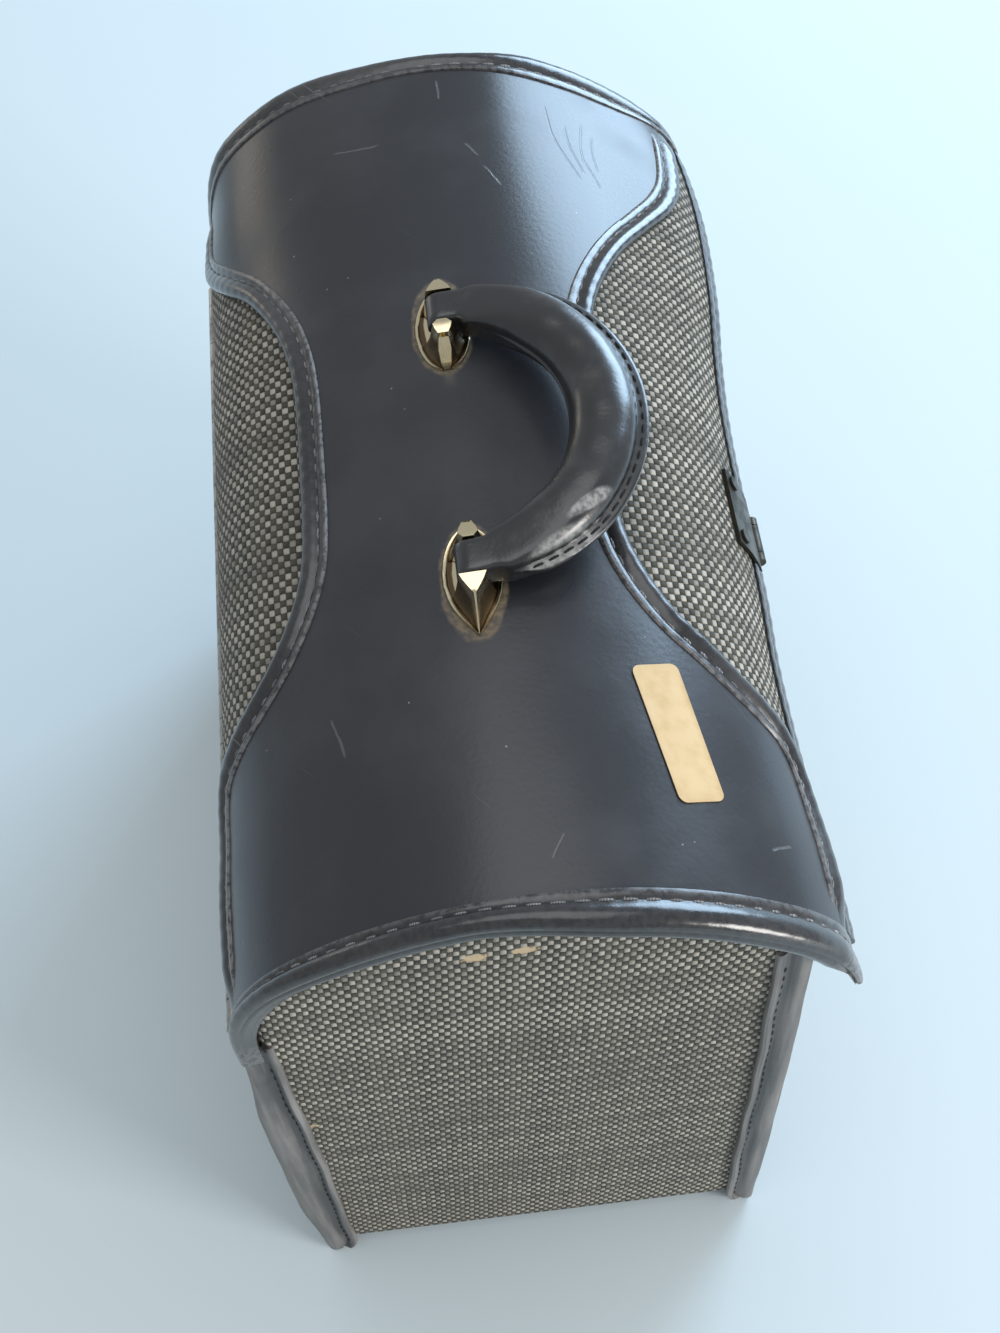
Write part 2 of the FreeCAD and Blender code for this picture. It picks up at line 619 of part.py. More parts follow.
def build_label():
    half_length = LABEL_LENGTH / 2
    half_width = LABEL_WIDTH / 2
    under = PANEL_TOP + GLUE
    sheet = arch_band(under, under + LABEL_THICKNESS, (-EDGE_START, EDGE_START))
    outline = block((-half_width, half_width), (-half_length, half_length), (0, 2 * CROWN_Z))
    upright = [edge for edge in outline.Edges if edge.BoundBox.ZLength > CROWN_Z]
    outline = outline.makeFillet(LABEL_CORNER, upright)
    outline.rotate(vector(0, 0, 0), Z_AXIS, LABEL_TURN)
    outline.translate(vector(HALF_WIDTH - LABEL_FRONT_INSET, LABEL_END_INSET - HALF_LENGTH, 0))
    export("paper_label", sheet.common(outline))


# Handle fittings, with the outer side away from the handle's middle


def hull(points, faces):
    """Closed solid from corner points and the corner numbers of each flat face."""
    shells = []
    for corners in faces:
        loop = [points[number] for number in corners]
        shells.append(Part.Face(Part.makePolygon(loop + loop[:1])))
    return Part.Solid(Part.makeShell(shells))


def ear(base_z, inner_y, tip_y, top_length):
    """Faceted ear: upright face at inner_y, flat top that narrows, ridge falling to tip_y."""
    direction = math.copysign(1.0, tip_y - inner_y)
    low = base_z + FITTING_RIM
    top = base_z + EAR_HEIGHT
    apex_z = top - EAR_TOP_FALL
    foot = base_z - FITTING_RIM
    points = [
        vector(-EAR_HALF_WIDTH, inner_y, foot), vector(EAR_HALF_WIDTH, inner_y, foot),
        vector(EAR_TOP_HALF_WIDTH, inner_y, top), vector(-EAR_TOP_HALF_WIDTH, inner_y, top),
        vector(0, inner_y + direction * top_length, apex_z), vector(0, tip_y, low), vector(0, tip_y, foot),
    ]
    faces = [
        (0, 1, 2, 3), (3, 2, 4), (1, 6, 5), (0, 5, 6), (1, 5, 2), (2, 5, 4), (0, 3, 5), (3, 4, 5), (0, 6, 1),
    ]
    return hull(points, faces)


def leaf_plate(base_z):
    """Low plate with a round inner end and a pointed outer end, drawn in towards its top."""
    def outline(scale, z):
        side = FITTING_HALF_WIDTH * scale
        outer = vector(0, FITTING_OUTER * scale, z)
        inner = vector(0, -FITTING_INNER * scale, z)
        right = vector(side, 0, z)
        left = vector(-side, 0, z)
        bulge_x = side * math.sqrt(0.5)
        round_y = -FITTING_INNER * scale * math.sqrt(0.5)
        swell_x = side * FITTING_SWELL
        swell_y = FITTING_OUTER * scale / 2
        return Part.Wire([
            Part.Arc(outer, vector(swell_x, swell_y, z), right).toShape(),
            Part.Arc(right, vector(bulge_x, round_y, z), inner).toShape(),
            Part.Arc(inner, vector(-bulge_x, round_y, z), left).toShape(),
            Part.Arc(left, vector(-swell_x, swell_y, z), outer).toShape(),
        ])
    foot = base_z - FITTING_RIM
    body = Part.Face(outline(1.0, foot)).extrude(vector(0, 0, FITTING_RIM))
    bevel = Part.makeLoft([outline(1.0, base_z), outline(FITTING_BEVEL, base_z + FITTING_RIM)], True, True)
    return body.fuse(bevel).removeSplitter()


def build_fittings():
    """Far fitting, built about its pivot, cut to the lid's curve, then mirrored for the near end."""
    outer = ear(POST_BASE_Z, EAR_GAP / 2, FITTING_OUTER * FITTING_BEVEL, EAR_TOP_LENGTH)
    inner = ear(POST_BASE_Z, -EAR_GAP / 2, -FITTING_INNER * FITTING_BEVEL, INNER_EAR_TOP_LENGTH)
    fitting = leaf_plate(POST_BASE_Z).fuse([outer, inner]).removeSplitter()
    fitting.translate(vector(HANDLE_X, HANDLE_Y + POST_HALF_SPAN, 0))
    pin_half = EAR_GAP / 2 + INNER_EAR_TOP_LENGTH
    pin_start = vector(HANDLE_X, HANDLE_Y + POST_HALF_SPAN - pin_half, PIVOT_Z)
    bore = rod(HANDLE_PIN_RADIUS + PRESS_FIT, pin_start, Y_AXIS, 2 * pin_half)
    lid = arch_fill(PANEL_TOP + GLUE / 2, (-HALF_LID, HALF_LID), LID_BACK_Z)
    fitting = fitting.cut([lid, bore, post_rivet_holes()])
    pin = rod(HANDLE_PIN_RADIUS, pin_start, Y_AXIS, 2 * pin_half)
    export("far_handle_fitting", fitting)
    export("near_handle_fitting", mirror_y(fitting, HANDLE_Y))
    export("handle_pins", pin, mirror_y(pin, HANDLE_Y))


def build_post_rivets():
    under = arch_fill(LID_INNER - GLUE / 2, (-HALF_LID, HALF_LID), LID_BACK_Z)
    x_span = around(HANDLE_X, 2 * BACKPLATE_HALF_WIDTH)
    plates = []
    for side in (-1, 1):
        y_span = around(HANDLE_Y + side * POST_HALF_SPAN, 2 * FITTING_INNER)
        plate = block(x_span, y_span, (POST_PLATE_Z, CROWN_Z)).common(under)
        plates.append(plate.cut(post_rivet_holes()))
    export("handle_backplates", *plates)
    rivets = []
    for y in post_rivet_places():
        start = vector(HANDLE_X, y, POST_PLATE_Z)
        shank = rod(RIVET_RADIUS, start, Z_AXIS, POST_BASE_Z + RIVET_DEPTH - POST_PLATE_Z)
        head = rod(RIVET_HEAD, start, -Z_AXIS, RIVET_HEAD_HEIGHT)
        rivets.append(shank.fuse(head).removeSplitter())
    export("handle_rivets", *rivets)


# Handle, built in its own plane about the pivot axis and then set to its resting angle


def grip_frame(turn):
    """Point on the grip's middle line and the outward direction there, at an angle along its half oval."""
    angle = math.radians(turn)
    point = vector(GRIP_REACH * math.sin(angle), POST_HALF_SPAN * math.cos(angle), 0)
    outward = vector(math.sin(angle) / GRIP_REACH, math.cos(angle) / POST_HALF_SPAN, 0).normalize()
    swell = math.sin(angle) ** GRIP_SWELL_POWER
    width = GRIP_END_WIDTH + (GRIP_WIDTH - GRIP_END_WIDTH) * swell
    thickness = GRIP_END_THICKNESS + (GRIP_THICKNESS - GRIP_END_THICKNESS) * swell
    return point, outward, width, thickness


def grip_section(turn):
    """Oval across the grip."""
    point, outward, width, thickness = grip_frame(turn)
    side = outward * (width / 2)
    rise = Z_AXIS * (thickness / 2)
    if width >= thickness:
        oval = Part.Ellipse(point + side, point + rise, point)
    else:
        oval = Part.Ellipse(point + rise, point - side, point)
    return Part.Wire([oval.toShape()])


def grip_turns(steps):
    """Even angles along the half oval from one end of the padding to the other."""
    step = (180.0 - 2 * GRIP_START) / steps
    return [GRIP_START + step * index for index in range(steps + 1)]


def seam_band():
    """Flat sewn flange along the outer edge of the grip."""
    inner = []
    outer = []
    for turn in grip_turns(GRIP_STEPS):
        point, outward, width, thickness = grip_frame(turn)
        fade = math.sin(math.radians(turn)) ** SEAM_FADE_POWER
        inner.append(point + outward * (width / 4))
        outer.append(point + outward * (width / 2 + SEAM_WIDTH * fade))
    inner_curve = Part.BSplineCurve()
    inner_curve.interpolate(inner)
    outer_curve = Part.BSplineCurve()
    outer_curve.interpolate(outer)
    edges = [
        inner_curve.toShape(), outer_curve.toShape(),
        Part.makeLine(inner[0], outer[0]), Part.makeLine(inner[-1], outer[-1]),
    ]
    face = Part.Face(Part.Wire(Part.__sortEdges__(edges)))
    face.translate(Z_AXIS * (-SEAM_THICKNESS / 2))
    return face.extrude(Z_AXIS * SEAM_THICKNESS)


def set_handle(shape):
    shape.rotate(vector(0, 0, 0), Y_AXIS, -HANDLE_REST)
    shape.translate(vector(HANDLE_X, HANDLE_Y, PIVOT_Z))
    return shape


def build_handle():
    grip = Part.makeLoft([grip_section(turn) for turn in grip_turns(GRIP_STEPS)], True, False)
    start_point = grip_frame(GRIP_START)[0]
    path = Part.BSplineCurve()
    path.interpolate([grip_frame(turn)[0] for turn in grip_turns(CORE_STEPS)])
    first = path.FirstParameter
    ring = Part.Circle(path.value(first), path.tangent(first)[0], CORE_RADIUS)
    core = Part.Wire([path.toShape()]).makePipeShell([Part.Wire([ring.toShape()])], True, False)
    tabs = []
    for side in (-1, 1):
        y_span = around(side * POST_HALF_SPAN, TAB_WIDTH)
        eye = rod(TAB_RADIUS, vector(0, y_span[0], 0), Y_AXIS, TAB_WIDTH)
        neck = block((0, start_point.x + TAB_RADIUS), y_span, (-TAB_RADIUS, TAB_RADIUS))
        tabs += [eye, neck]
    leather = grip.fuse(tabs + [seam_band()])
    bore_start = vector(0, -2 * POST_HALF_SPAN, 0)
    bore = rod(HANDLE_PIN_RADIUS + RUNNING_FIT, bore_start, Y_AXIS, 4 * POST_HALF_SPAN)
    leather = leather.cut([core, bore])
    export("handle_grip", set_handle(leather))
    export("handle_core", set_handle(core))


# Lock


def build_lock_case():
    y_span = around(LOCK_Y, LOCK_WIDTH)
    case = block((HALF_WIDTH, LOCK_FRONT), y_span, (LOCK_BOTTOM, LOCK_TOP))
    notch = block((HALF_WIDTH, LOCK_FRONT), around(LOCK_Y, NOTCH_WIDTH), (LOCK_TOP - NOTCH_HEIGHT, LOCK_TOP))
    cavity_y = (LOCK_Y, BARREL_Y + BARREL_FLANGE_RADIUS + LOCK_CLEARANCE)
    cavity_z = (BARREL_Z - BARREL_FLANGE_RADIUS - LOCK_CLEARANCE, BARREL_Z + CAM_REACH + LOCK_CLEARANCE)
    cavity = block((HALF_WIDTH, LOCK_FRONT - LOCK_WALL), cavity_y, cavity_z)
    barrel_start = vector(HALF_WIDTH, BARREL_Y, BARREL_Z)
    barrel_hole = rod(BARREL_RADIUS + RUNNING_FIT, barrel_start, X_AXIS, LOCK_DEPTH)
    export("lock_case", case.cut([notch, cavity, barrel_hole, lock_rivet_holes()]))
    plate_x = (WALL_X - LINING - BACKPLATE, WALL_X - LINING)
    plate = block(plate_x, y_span, (LOCK_BOTTOM, LOCK_TOP))
    export("lock_backplate", plate.cut(lock_rivet_holes()))
    rivets = []
    for y, z in lock_rivet_places():
        shank = rod(RIVET_RADIUS, vector(plate_x[0], y, z), X_AXIS, LOCK_FRONT - plate_x[0])
        front_head = rod(RIVET_HEAD, vector(LOCK_FRONT, y, z), X_AXIS, RIVET_HEAD_HEIGHT)
        back_head = rod(RIVET_HEAD, vector(plate_x[0], y, z), -X_AXIS, RIVET_HEAD_HEIGHT)
        rivets.append(shank.fuse([front_head, back_head]).removeSplitter())
    export("lock_rivets", *rivets)


def build_barrel_and_cam():
    """Barrel with a tail behind it, and the arm on that tail, which points up when unlocked."""
    front = LOCK_FRONT + BARREL_PROUD
    back = vector(BARREL_BACK_X, BARREL_Y, BARREL_Z)
    barrel = rod(BARREL_RADIUS, back, X_AXIS, front - BARREL_BACK_X)
    flange_end = LOCK_FRONT - LOCK_WALL - LOCK_CLEARANCE
    flange = rod(BARREL_FLANGE_RADIUS, back, X_AXIS, flange_end - BARREL_BACK_X)
    tail = rod(BARREL_TAIL_RADIUS, back, -X_AXIS, CAM_THICKNESS)
    keyway_x = (front - KEYWAY_DEPTH, front)
    keyway = block(keyway_x, around(BARREL_Y, KEYWAY_WIDTH), around(BARREL_Z, KEYWAY_HEIGHT))
    export("key_barrel", barrel.fuse([flange, tail]).removeSplitter().cut(keyway))
    cam_x = (CAM_BACK_X, BARREL_BACK_X)
    eye = rod(CAM_EYE_RADIUS, back, -X_AXIS, CAM_THICKNESS)
    arm = block(cam_x, around(BARREL_Y, 2 * CAM_HALF_WIDTH), (BARREL_Z, BARREL_Z + CAM_REACH))
    tail_hole = rod(BARREL_TAIL_RADIUS + PRESS_FIT, back, -X_AXIS, CAM_THICKNESS)
    export("lock_cam", eye.fuse(arm).removeSplitter().cut(tail_hole))


def hasp_pin_bore(radius):
    start = vector(HASP_AXIS_X, LOCK_Y - HASP_PLATE_WIDTH / 2, HASP_AXIS_Z)
    return rod(radius, start, Y_AXIS, HASP_PLATE_WIDTH)


def build_hasp_plate():
    """Curved plate on the front shoulder, with two knuckles below the lip, and the plate inside the lid."""
    y_span = around(LOCK_Y, HASP_PLATE_WIDTH)
    inner = HASP_PLATE_CLEARANCE
    outer = inner + HASP_PLATE_THICKNESS
    plate = arch_band(inner, outer, y_span).common(lip_wedge(HASP_PLATE_HEIGHT, y_span))
    stem = [
        lip_point(inner, 0), lip_point(outer, 0),
        lip_point(outer, HASP_AXIS_DROP), lip_point(inner, HASP_AXIS_DROP),
    ]
    lugs = []
    gap = HASP_KNUCKLE_WIDTH / 2 + KNUCKLE_CLEARANCE
    lug_length = HASP_WIDTH / 2 - gap + HASP_KNUCKLE_RADIUS
    for low in (LOCK_Y + gap, LOCK_Y - gap - lug_length):
        lugs.append(rod(HASP_KNUCKLE_RADIUS, vector(HASP_AXIS_X, low, HASP_AXIS_Z), Y_AXIS, lug_length))
        lugs.append(prism_y(stem, (low, low + lug_length)))
    plate = plate.fuse(lugs).removeSplitter()
    export("hasp_plate", plate.cut([hasp_rivet_holes(), hasp_pin_bore(HASP_PIN_RADIUS + PRESS_FIT)]))
    pin_half = gap + lug_length
    pin_start = vector(HASP_AXIS_X, LOCK_Y - pin_half, HASP_AXIS_Z)
    export("hasp_pin", rod(HASP_PIN_RADIUS, pin_start, Y_AXIS, 2 * pin_half))
    backing = arch_band(LID_INNER - GLUE - BACKPLATE, LID_INNER - GLUE, y_span)
    above = lip_wedge(HASP_RIVET_HEIGHT + HASP_BACKPLATE_HEIGHT / 2, y_span)
    below = lip_wedge(HASP_RIVET_HEIGHT - HASP_BACKPLATE_HEIGHT / 2, y_span)
    export("hasp_backplate", backing.common(above).cut([below, hasp_rivet_holes()]))
    shanks = hasp_rivet_rods(RIVET_RADIUS, HASP_RIVET_INNER, HASP_RIVET_OUTER)
    front_heads = hasp_rivet_rods(RIVET_HEAD, HASP_RIVET_OUTER, HASP_RIVET_OUTER + RIVET_HEAD_HEIGHT)
    back_heads = hasp_rivet_rods(RIVET_HEAD, HASP_RIVET_INNER - RIVET_HEAD_HEIGHT, HASP_RIVET_INNER)
    rivets = []
    for shank, front_head, back_head in zip(shanks, front_heads, back_heads):
        rivets.append(shank.fuse([front_head, back_head]).removeSplitter())
    export("hasp_rivets", *rivets)


def build_hasp():
    """Strip that hangs from its pin under the lip, slants in to the lock and carries the staple."""
    upper_inner = HASP_AXIS_X - HASP_THICKNESS / 2
    upper_outer = HASP_AXIS_X + HASP_THICKNESS / 2
    lower_inner = HASP_INNER_X
    lower_outer = HASP_INNER_X + HASP_THICKNESS
    neck_top = HASP_AXIS_Z - HASP_KNUCKLE_RADIUS - KNUCKLE_CLEARANCE
    crank_top = neck_top - HASP_THICKNESS
    crank_end = LOCK_TOP - HASP_THICKNESS
    bottom = BARREL_Z - HASP_TAIL
    strip = [
        (upper_inner, HASP_AXIS_Z), (upper_inner, crank_top), (lower_inner, crank_end),
        (lower_inner, bottom), (lower_outer, bottom), (lower_outer, crank_end),
        (upper_outer, crank_top), (upper_outer, HASP_AXIS_Z),
    ]
    leaf = prism_y(strip, around(LOCK_Y, HASP_WIDTH))
    leaf = leaf.common(block((HALF_WIDTH, 2 * LID_RIGHT), around(LOCK_Y, HASP_WIDTH), (bottom, neck_top)))
    neck_y = around(LOCK_Y, HASP_KNUCKLE_WIDTH)
    neck = block((upper_inner, upper_outer), neck_y, (neck_top, HASP_AXIS_Z))
    knuckle_start = vector(HASP_AXIS_X, neck_y[0], HASP_AXIS_Z)
    knuckle = rod(HASP_KNUCKLE_RADIUS, knuckle_start, Y_AXIS, HASP_KNUCKLE_WIDTH)
    slot_bottom = BARREL_Z - CAM_HALF_WIDTH - LOCK_CLEARANCE
    slot_top = BARREL_Z + CAM_HALF_WIDTH + LOCK_CLEARANCE
    staple_x = (HASP_INNER_X - STAPLE_REACH, HASP_INNER_X)
    staple = block(staple_x, around(LOCK_Y, STAPLE_WIDTH), (slot_bottom - STAPLE_ROOT, slot_top))
    slot_x = (CAM_BACK_X - LOCK_CLEARANCE, BARREL_BACK_X + LOCK_CLEARANCE)
    slot = block(slot_x, around(LOCK_Y, STAPLE_WIDTH), (slot_bottom, slot_top))
    hasp = leaf.fuse([neck, knuckle, staple]).removeSplitter()
    export("hasp", hasp.cut([slot, hasp_pin_bore(HASP_PIN_RADIUS + RUNNING_FIT)]))


os.makedirs("parts", exist_ok=True)
build_boards()
build_covers()
build_lining()
build_body_bindings()
build_hinge()
build_lid_sheets()
build_saddle()
build_lid_bindings()
build_label()
build_fittings()
build_post_rivets()
build_handle()
build_lock_case()
build_barrel_and_cam()
build_hasp_plate()
build_hasp()
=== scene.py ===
import bmesh
import bpy
import numpy as np
from mathutils import Matrix


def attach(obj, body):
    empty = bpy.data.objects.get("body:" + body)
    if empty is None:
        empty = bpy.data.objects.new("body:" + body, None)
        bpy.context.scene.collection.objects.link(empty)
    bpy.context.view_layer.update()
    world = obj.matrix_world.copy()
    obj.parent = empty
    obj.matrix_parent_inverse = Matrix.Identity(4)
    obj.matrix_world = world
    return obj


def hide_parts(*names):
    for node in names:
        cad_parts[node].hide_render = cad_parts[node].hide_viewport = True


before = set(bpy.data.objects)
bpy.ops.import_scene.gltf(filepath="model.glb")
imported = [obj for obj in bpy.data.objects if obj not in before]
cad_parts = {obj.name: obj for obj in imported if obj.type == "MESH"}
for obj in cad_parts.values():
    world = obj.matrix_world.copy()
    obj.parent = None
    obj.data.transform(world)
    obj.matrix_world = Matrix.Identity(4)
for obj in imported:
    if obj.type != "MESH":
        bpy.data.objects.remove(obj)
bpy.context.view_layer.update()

# Plywood boards and pine rails
# The stiff shell is thin plywood for the floor, the walls and the lid. Two pine rails take the hinge nails.
# The boards are glued at the corners and hidden by cloth, so only edges show where the case stands open.

PLY_PALE = (0.46, 0.33, 0.19, 1.0)
PLY_DARK = (0.30, 0.19, 0.10, 1.0)


def add_node(tree, kind, inputs=None, **settings):
    """Shader node with its settings; each input is a link from another node, or a plain value."""
    node = tree.nodes.new(kind)
    for key, value in settings.items():
        setattr(node, key, value)
    for key, value in (inputs or {}).items():
        if isinstance(value, bpy.types.NodeSocket):
            tree.links.new(value, node.inputs[key])
        else:
            node.inputs[key].default_value = value
    return node


def calc(tree, operation, first, second=0.0, third=0.0):
    """Result of one sum on two or three values."""
    return add_node(tree, "ShaderNodeMath", {0: first, 1: second, 2: third}, operation=operation).outputs[0]


def fade(tree, value, low, high, start=0.0, end=1.0):
    """Smooth change from start to end while the value goes from low to high."""
    inputs = {0: value, 1: low, 2: high, 3: start, 4: end}
    return add_node(tree, "ShaderNodeMapRange", inputs, interpolation_type="SMOOTHSTEP").outputs[0]


def cloud(tree, vector, scale, detail=2.0):
    """Cloudy noise from 0 to 1, with about scale spots to the metre."""
    inputs = {"Vector": vector, "Scale": scale, "Detail": detail}
    return add_node(tree, "ShaderNodeTexNoise", inputs).outputs[0]


def vector_calc(tree, operation, first, second, third=(0.0, 0.0, 0.0)):
    """Result of one sum on two or three vectors."""
    inputs = {0: first, 1: second, 2: third}
    return add_node(tree, "ShaderNodeVectorMath", inputs, operation=operation).outputs[0]


def stretch(tree, vector, factors):
    """Coordinates multiplied by a factor on each axis."""
    return vector_calc(tree, "MULTIPLY", vector, factors)


def split(tree, vector):
    """The three parts of a vector."""
    return add_node(tree, "ShaderNodeSeparateXYZ", {0: vector}).outputs


def blend_colours(tree, share, first, second):
    """First colour, giving way to the second as share goes from 0 to 1."""
    inputs = {0: share, 6: first, 7: second}
    return add_node(tree, "ShaderNodeMix", inputs, data_type="RGBA").outputs[2]


def start_material(name, settings):
    """New material: its node tree, its Principled shader with plain settings, and its Object coordinates."""
    material = bpy.data.materials.new(name)
    material.use_nodes = True
    tree = material.node_tree
    shader = tree.nodes["Principled BSDF"]
    for label, value in settings.items():
        shader.inputs[label].default_value = value
    return material, tree, shader, add_node(tree, "ShaderNodeTexCoord")


def set_surface(tree, shader, colour, roughness, height, depth):
    """Feeds the shader its colour and roughness, and a bump of the given depth in metres."""
    bump = add_node(tree, "ShaderNodeBump", {"Height": height, "Distance": depth})
    tree.links.new(colour, shader.inputs["Base Color"])
    tree.links.new(roughness, shader.inputs["Roughness"])
    tree.links.new(bump.outputs[0], shader.inputs["Normal"])


def make_plywood():
    """Streaks of late wood along the case, over slow changes of tone."""
    material, tree, shader, place = start_material("plywood", {"Specular IOR Level": 0.3})
    streak = cloud(tree, stretch(tree, place.outputs["Object"], (160.0, 6.0, 160.0)), 1.0, 4.0)
    tone = cloud(tree, place.outputs["Object"], 14.0)
    share = calc(tree, "MULTIPLY", streak, fade(tree, tone, 0.3, 0.7, 0.7, 1.3))
    colour = blend_colours(tree, fade(tree, share, 0.3, 0.75), PLY_PALE, PLY_DARK)
    set_surface(tree, shader, colour, fade(tree, streak, 0.2, 0.8, 0.55, 0.75), streak, 0.0002)
    return material


def dress(material, *names):
    """Gives CAD nodes a material."""
    for name in names:
        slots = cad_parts[name].data.materials
        for index in range(len(slots)):
            slots[index] = material


plywood = make_plywood()
dress(plywood, "body_hinge_rail", "lid_hinge_rail")

# End, side and floor boards
# Two plywood ends, rounded over at the top for the cloth, rise into the lid's arch: a wide crown between two
# tighter shoulders, and a straight back. All the boards are bevelled where the case narrows at its foot.

CROWN_X = 6.8
CROWN_Z = 365.5
CROWN_RADIUS = 124.099
CROWN_ARC = 93.22
SHOULDER_RADIUS = 74.025
FRONT_SHOULDER_ARC = 37.42
BACK_SHOULDER_ARC = 60.67
HALF_WIDTH = 100.0
HALF_LENGTH = 196.0
TWEED = 1.2
BOARD = 4.0
FLOOR_Z = 5.2
BACK_HEIGHT = 261.0
FRONT_HEIGHT = 301.0
SIDE_INNER = HALF_WIDTH - TWEED - BOARD
END_INNER = HALF_LENGTH - TWEED - BOARD
END_LIFT = -6.9
END_BACK_ARC = -170.4
END_FRONT_ARC = 114.4
END_ROLL = 4.0
END_COLUMNS = 120
END_ROWS_FLAT = 39
END_ROWS_ROLLED = 7
END_TURN_IN = 2.0
END_BOARD_LIP = 0.4
SIDE_BOARD_GRID = (12, 8)
CORNER_STEPS = 9
SHARP_EDGE = 0.7
BOARD_INSET = 1.25
BASE_BAND = 15.0
BASE_CORNER = 1.3
BOARD_FOOT = 14.4
FLOOR_INSETS = (6.6, 4.6)
FLOOR_UNDERSIDE = 1.25


def arch_point(across, lift):
    """Point (x, z) on the lid's section: across is the arc length from the crown, towards the front, and
    lift is the height over the outer face. The arc turns with the crown's radius, then with the shoulder's,
    and then runs straight."""
    side = np.sign(across)
    run = np.abs(across)
    shoulder_arc = np.where(across > 0, FRONT_SHOULDER_ARC, BACK_SHOULDER_ARC)
    crown_turn = np.minimum(run, CROWN_ARC) / CROWN_RADIUS
    turn = crown_turn + np.clip(run - CROWN_ARC, 0, shoulder_arc) / SHOULDER_RADIUS
    straight = np.maximum(run - CROWN_ARC - shoulder_arc, 0)
    x = CROWN_RADIUS * np.sin(crown_turn) + SHOULDER_RADIUS * (np.sin(turn) - np.sin(crown_turn))
    z = CROWN_RADIUS * (np.cos(crown_turn) - 1) + SHOULDER_RADIUS * (np.cos(turn) - np.cos(crown_turn))
    x = x + straight * np.cos(turn) + lift * np.sin(turn)
    z = z - straight * np.sin(turn) + lift * np.cos(turn)
    return CROWN_X + side * x, CROWN_Z + z


def grid_quads(numbers):
    """Quads between the neighbouring rows and columns of a grid of point numbers."""
    quads = [numbers[:-1, :-1], numbers[:-1, 1:], numbers[1:, 1:], numbers[1:, :-1]]
    return np.stack(quads, axis=-1).reshape(-1, 4)


def closed_sheet(upper, lower):
    """Thin closed shell: a grid of points, a second grid under it, and quads round the rim."""
    rows, columns = upper.shape[:2]
    numbers = np.arange(rows * columns).reshape(rows, columns)
    rim = np.concatenate([numbers[0, :-1], numbers[:-1, -1], numbers[-1, :0:-1], numbers[:0:-1, 0]])
    after = np.roll(rim, -1)
    below = rows * columns
    strip = np.stack([rim, rim + below, after + below, after], axis=1)
    quads = grid_quads(numbers)
    points = np.concatenate([upper.reshape(-1, 3), lower.reshape(-1, 3)])
    return points, np.concatenate([quads, quads[:, ::-1] + below, strip]).tolist()


def add_piece(name, shell, material, body, flat=None):
    """Smooth piece from (points, faces) in millimetres, turned outwards and set on a body; flat is where each
    point lies on the cut cloth, in millimetres."""
    points, faces = shell
    mesh = bpy.data.meshes.new(name)
    mesh.from_pydata((points / 1000).tolist(), [], faces)
    work = bmesh.new()
    work.from_mesh(mesh)
    bmesh.ops.recalc_face_normals(work, faces=work.faces)
    work.to_mesh(mesh)
    work.free()
    mesh.polygons.foreach_set("use_smooth", np.ones(len(mesh.polygons), dtype=bool))
    mesh.set_sharp_from_angle(angle=SHARP_EDGE)
    if flat is not None:
        corners = np.empty(len(mesh.loops), dtype=np.int32)
        mesh.loops.foreach_get("vertex_index", corners)
        layer = mesh.uv_layers.new(name="cloth")
        layer.data.foreach_set("uv", (flat[corners] / 1000).ravel())
    mesh.materials.append(material)
    piece = bpy.data.objects.new(name, mesh)
    bpy.context.scene.collection.objects.link(piece)
    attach(piece, body)
    return piece


def end_skin(inset, inner_y, side):
    """Skin of an end panel: flat from the floor to its rounded top edge, over the roll, and in to inner_y.
    Columns follow the arch, and rows rise; inset moves the skin into the case. Also gives the flat place of
    each point."""
    across = np.linspace(END_BACK_ARC, END_FRONT_ARC, END_COLUMNS)
    roll = END_ROLL - inset
    turns = np.linspace(0, np.pi / 2, END_ROWS_ROLLED)
    rises = np.arange(END_ROWS_FLAT) / END_ROWS_FLAT
    foot_x = np.linspace(-HALF_WIDTH + inset, HALF_WIDTH - inset, len(across))
    low_x, low_z = arch_point(across, END_LIFT - END_ROLL)
    low_x = np.clip(low_x, -HALF_WIDTH + TWEED, HALF_WIDTH - TWEED)
    flat_x = foot_x + rises[:, None] * (low_x - foot_x)
    flat_z = BASE_BAND + rises[:, None] * (low_z - BASE_BAND)
    flat_y = np.full_like(flat_x, HALF_LENGTH - inset)
    roll_x, roll_z = arch_point(across[None, :], END_LIFT - END_ROLL + roll * np.sin(turns)[:, None])
    roll_y = np.broadcast_to((HALF_LENGTH - inset - roll * (1 - np.cos(turns)))[:, None], roll_x.shape)
    x = np.concatenate([flat_x, roll_x, roll_x[-1:]])
    z = np.concatenate([flat_z, roll_z, roll_z[-1:]])
    y = np.concatenate([flat_y, roll_y, np.full((1, len(across)), inner_y)])
    spread_x, spread_z = arch_point(across[None, :], END_LIFT - END_ROLL + roll * turns[:, None])
    last_x, last_z = arch_point(across[None, :], END_LIFT - END_ROLL + roll * turns[-1] + END_TURN_IN)
    flat = np.stack([
        np.concatenate([flat_x, spread_x, last_x]),
        np.concatenate([flat_z, spread_z, last_z]),
    ], axis=-1)
    return np.stack([x, side * y, z], axis=-1), flat


def make_end_board(name, side):
    """Arched board: the skin just under the cloth, and a flat inner face."""
    outer = end_skin(BOARD_INSET, END_INNER + END_BOARD_LIP, side)[0]
    inner = outer.copy()
    inner[..., 1] = side * END_INNER
    board = add_piece(name + "_rounded", closed_sheet(outer, inner), plywood, "case")
    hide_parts(name)
    return board


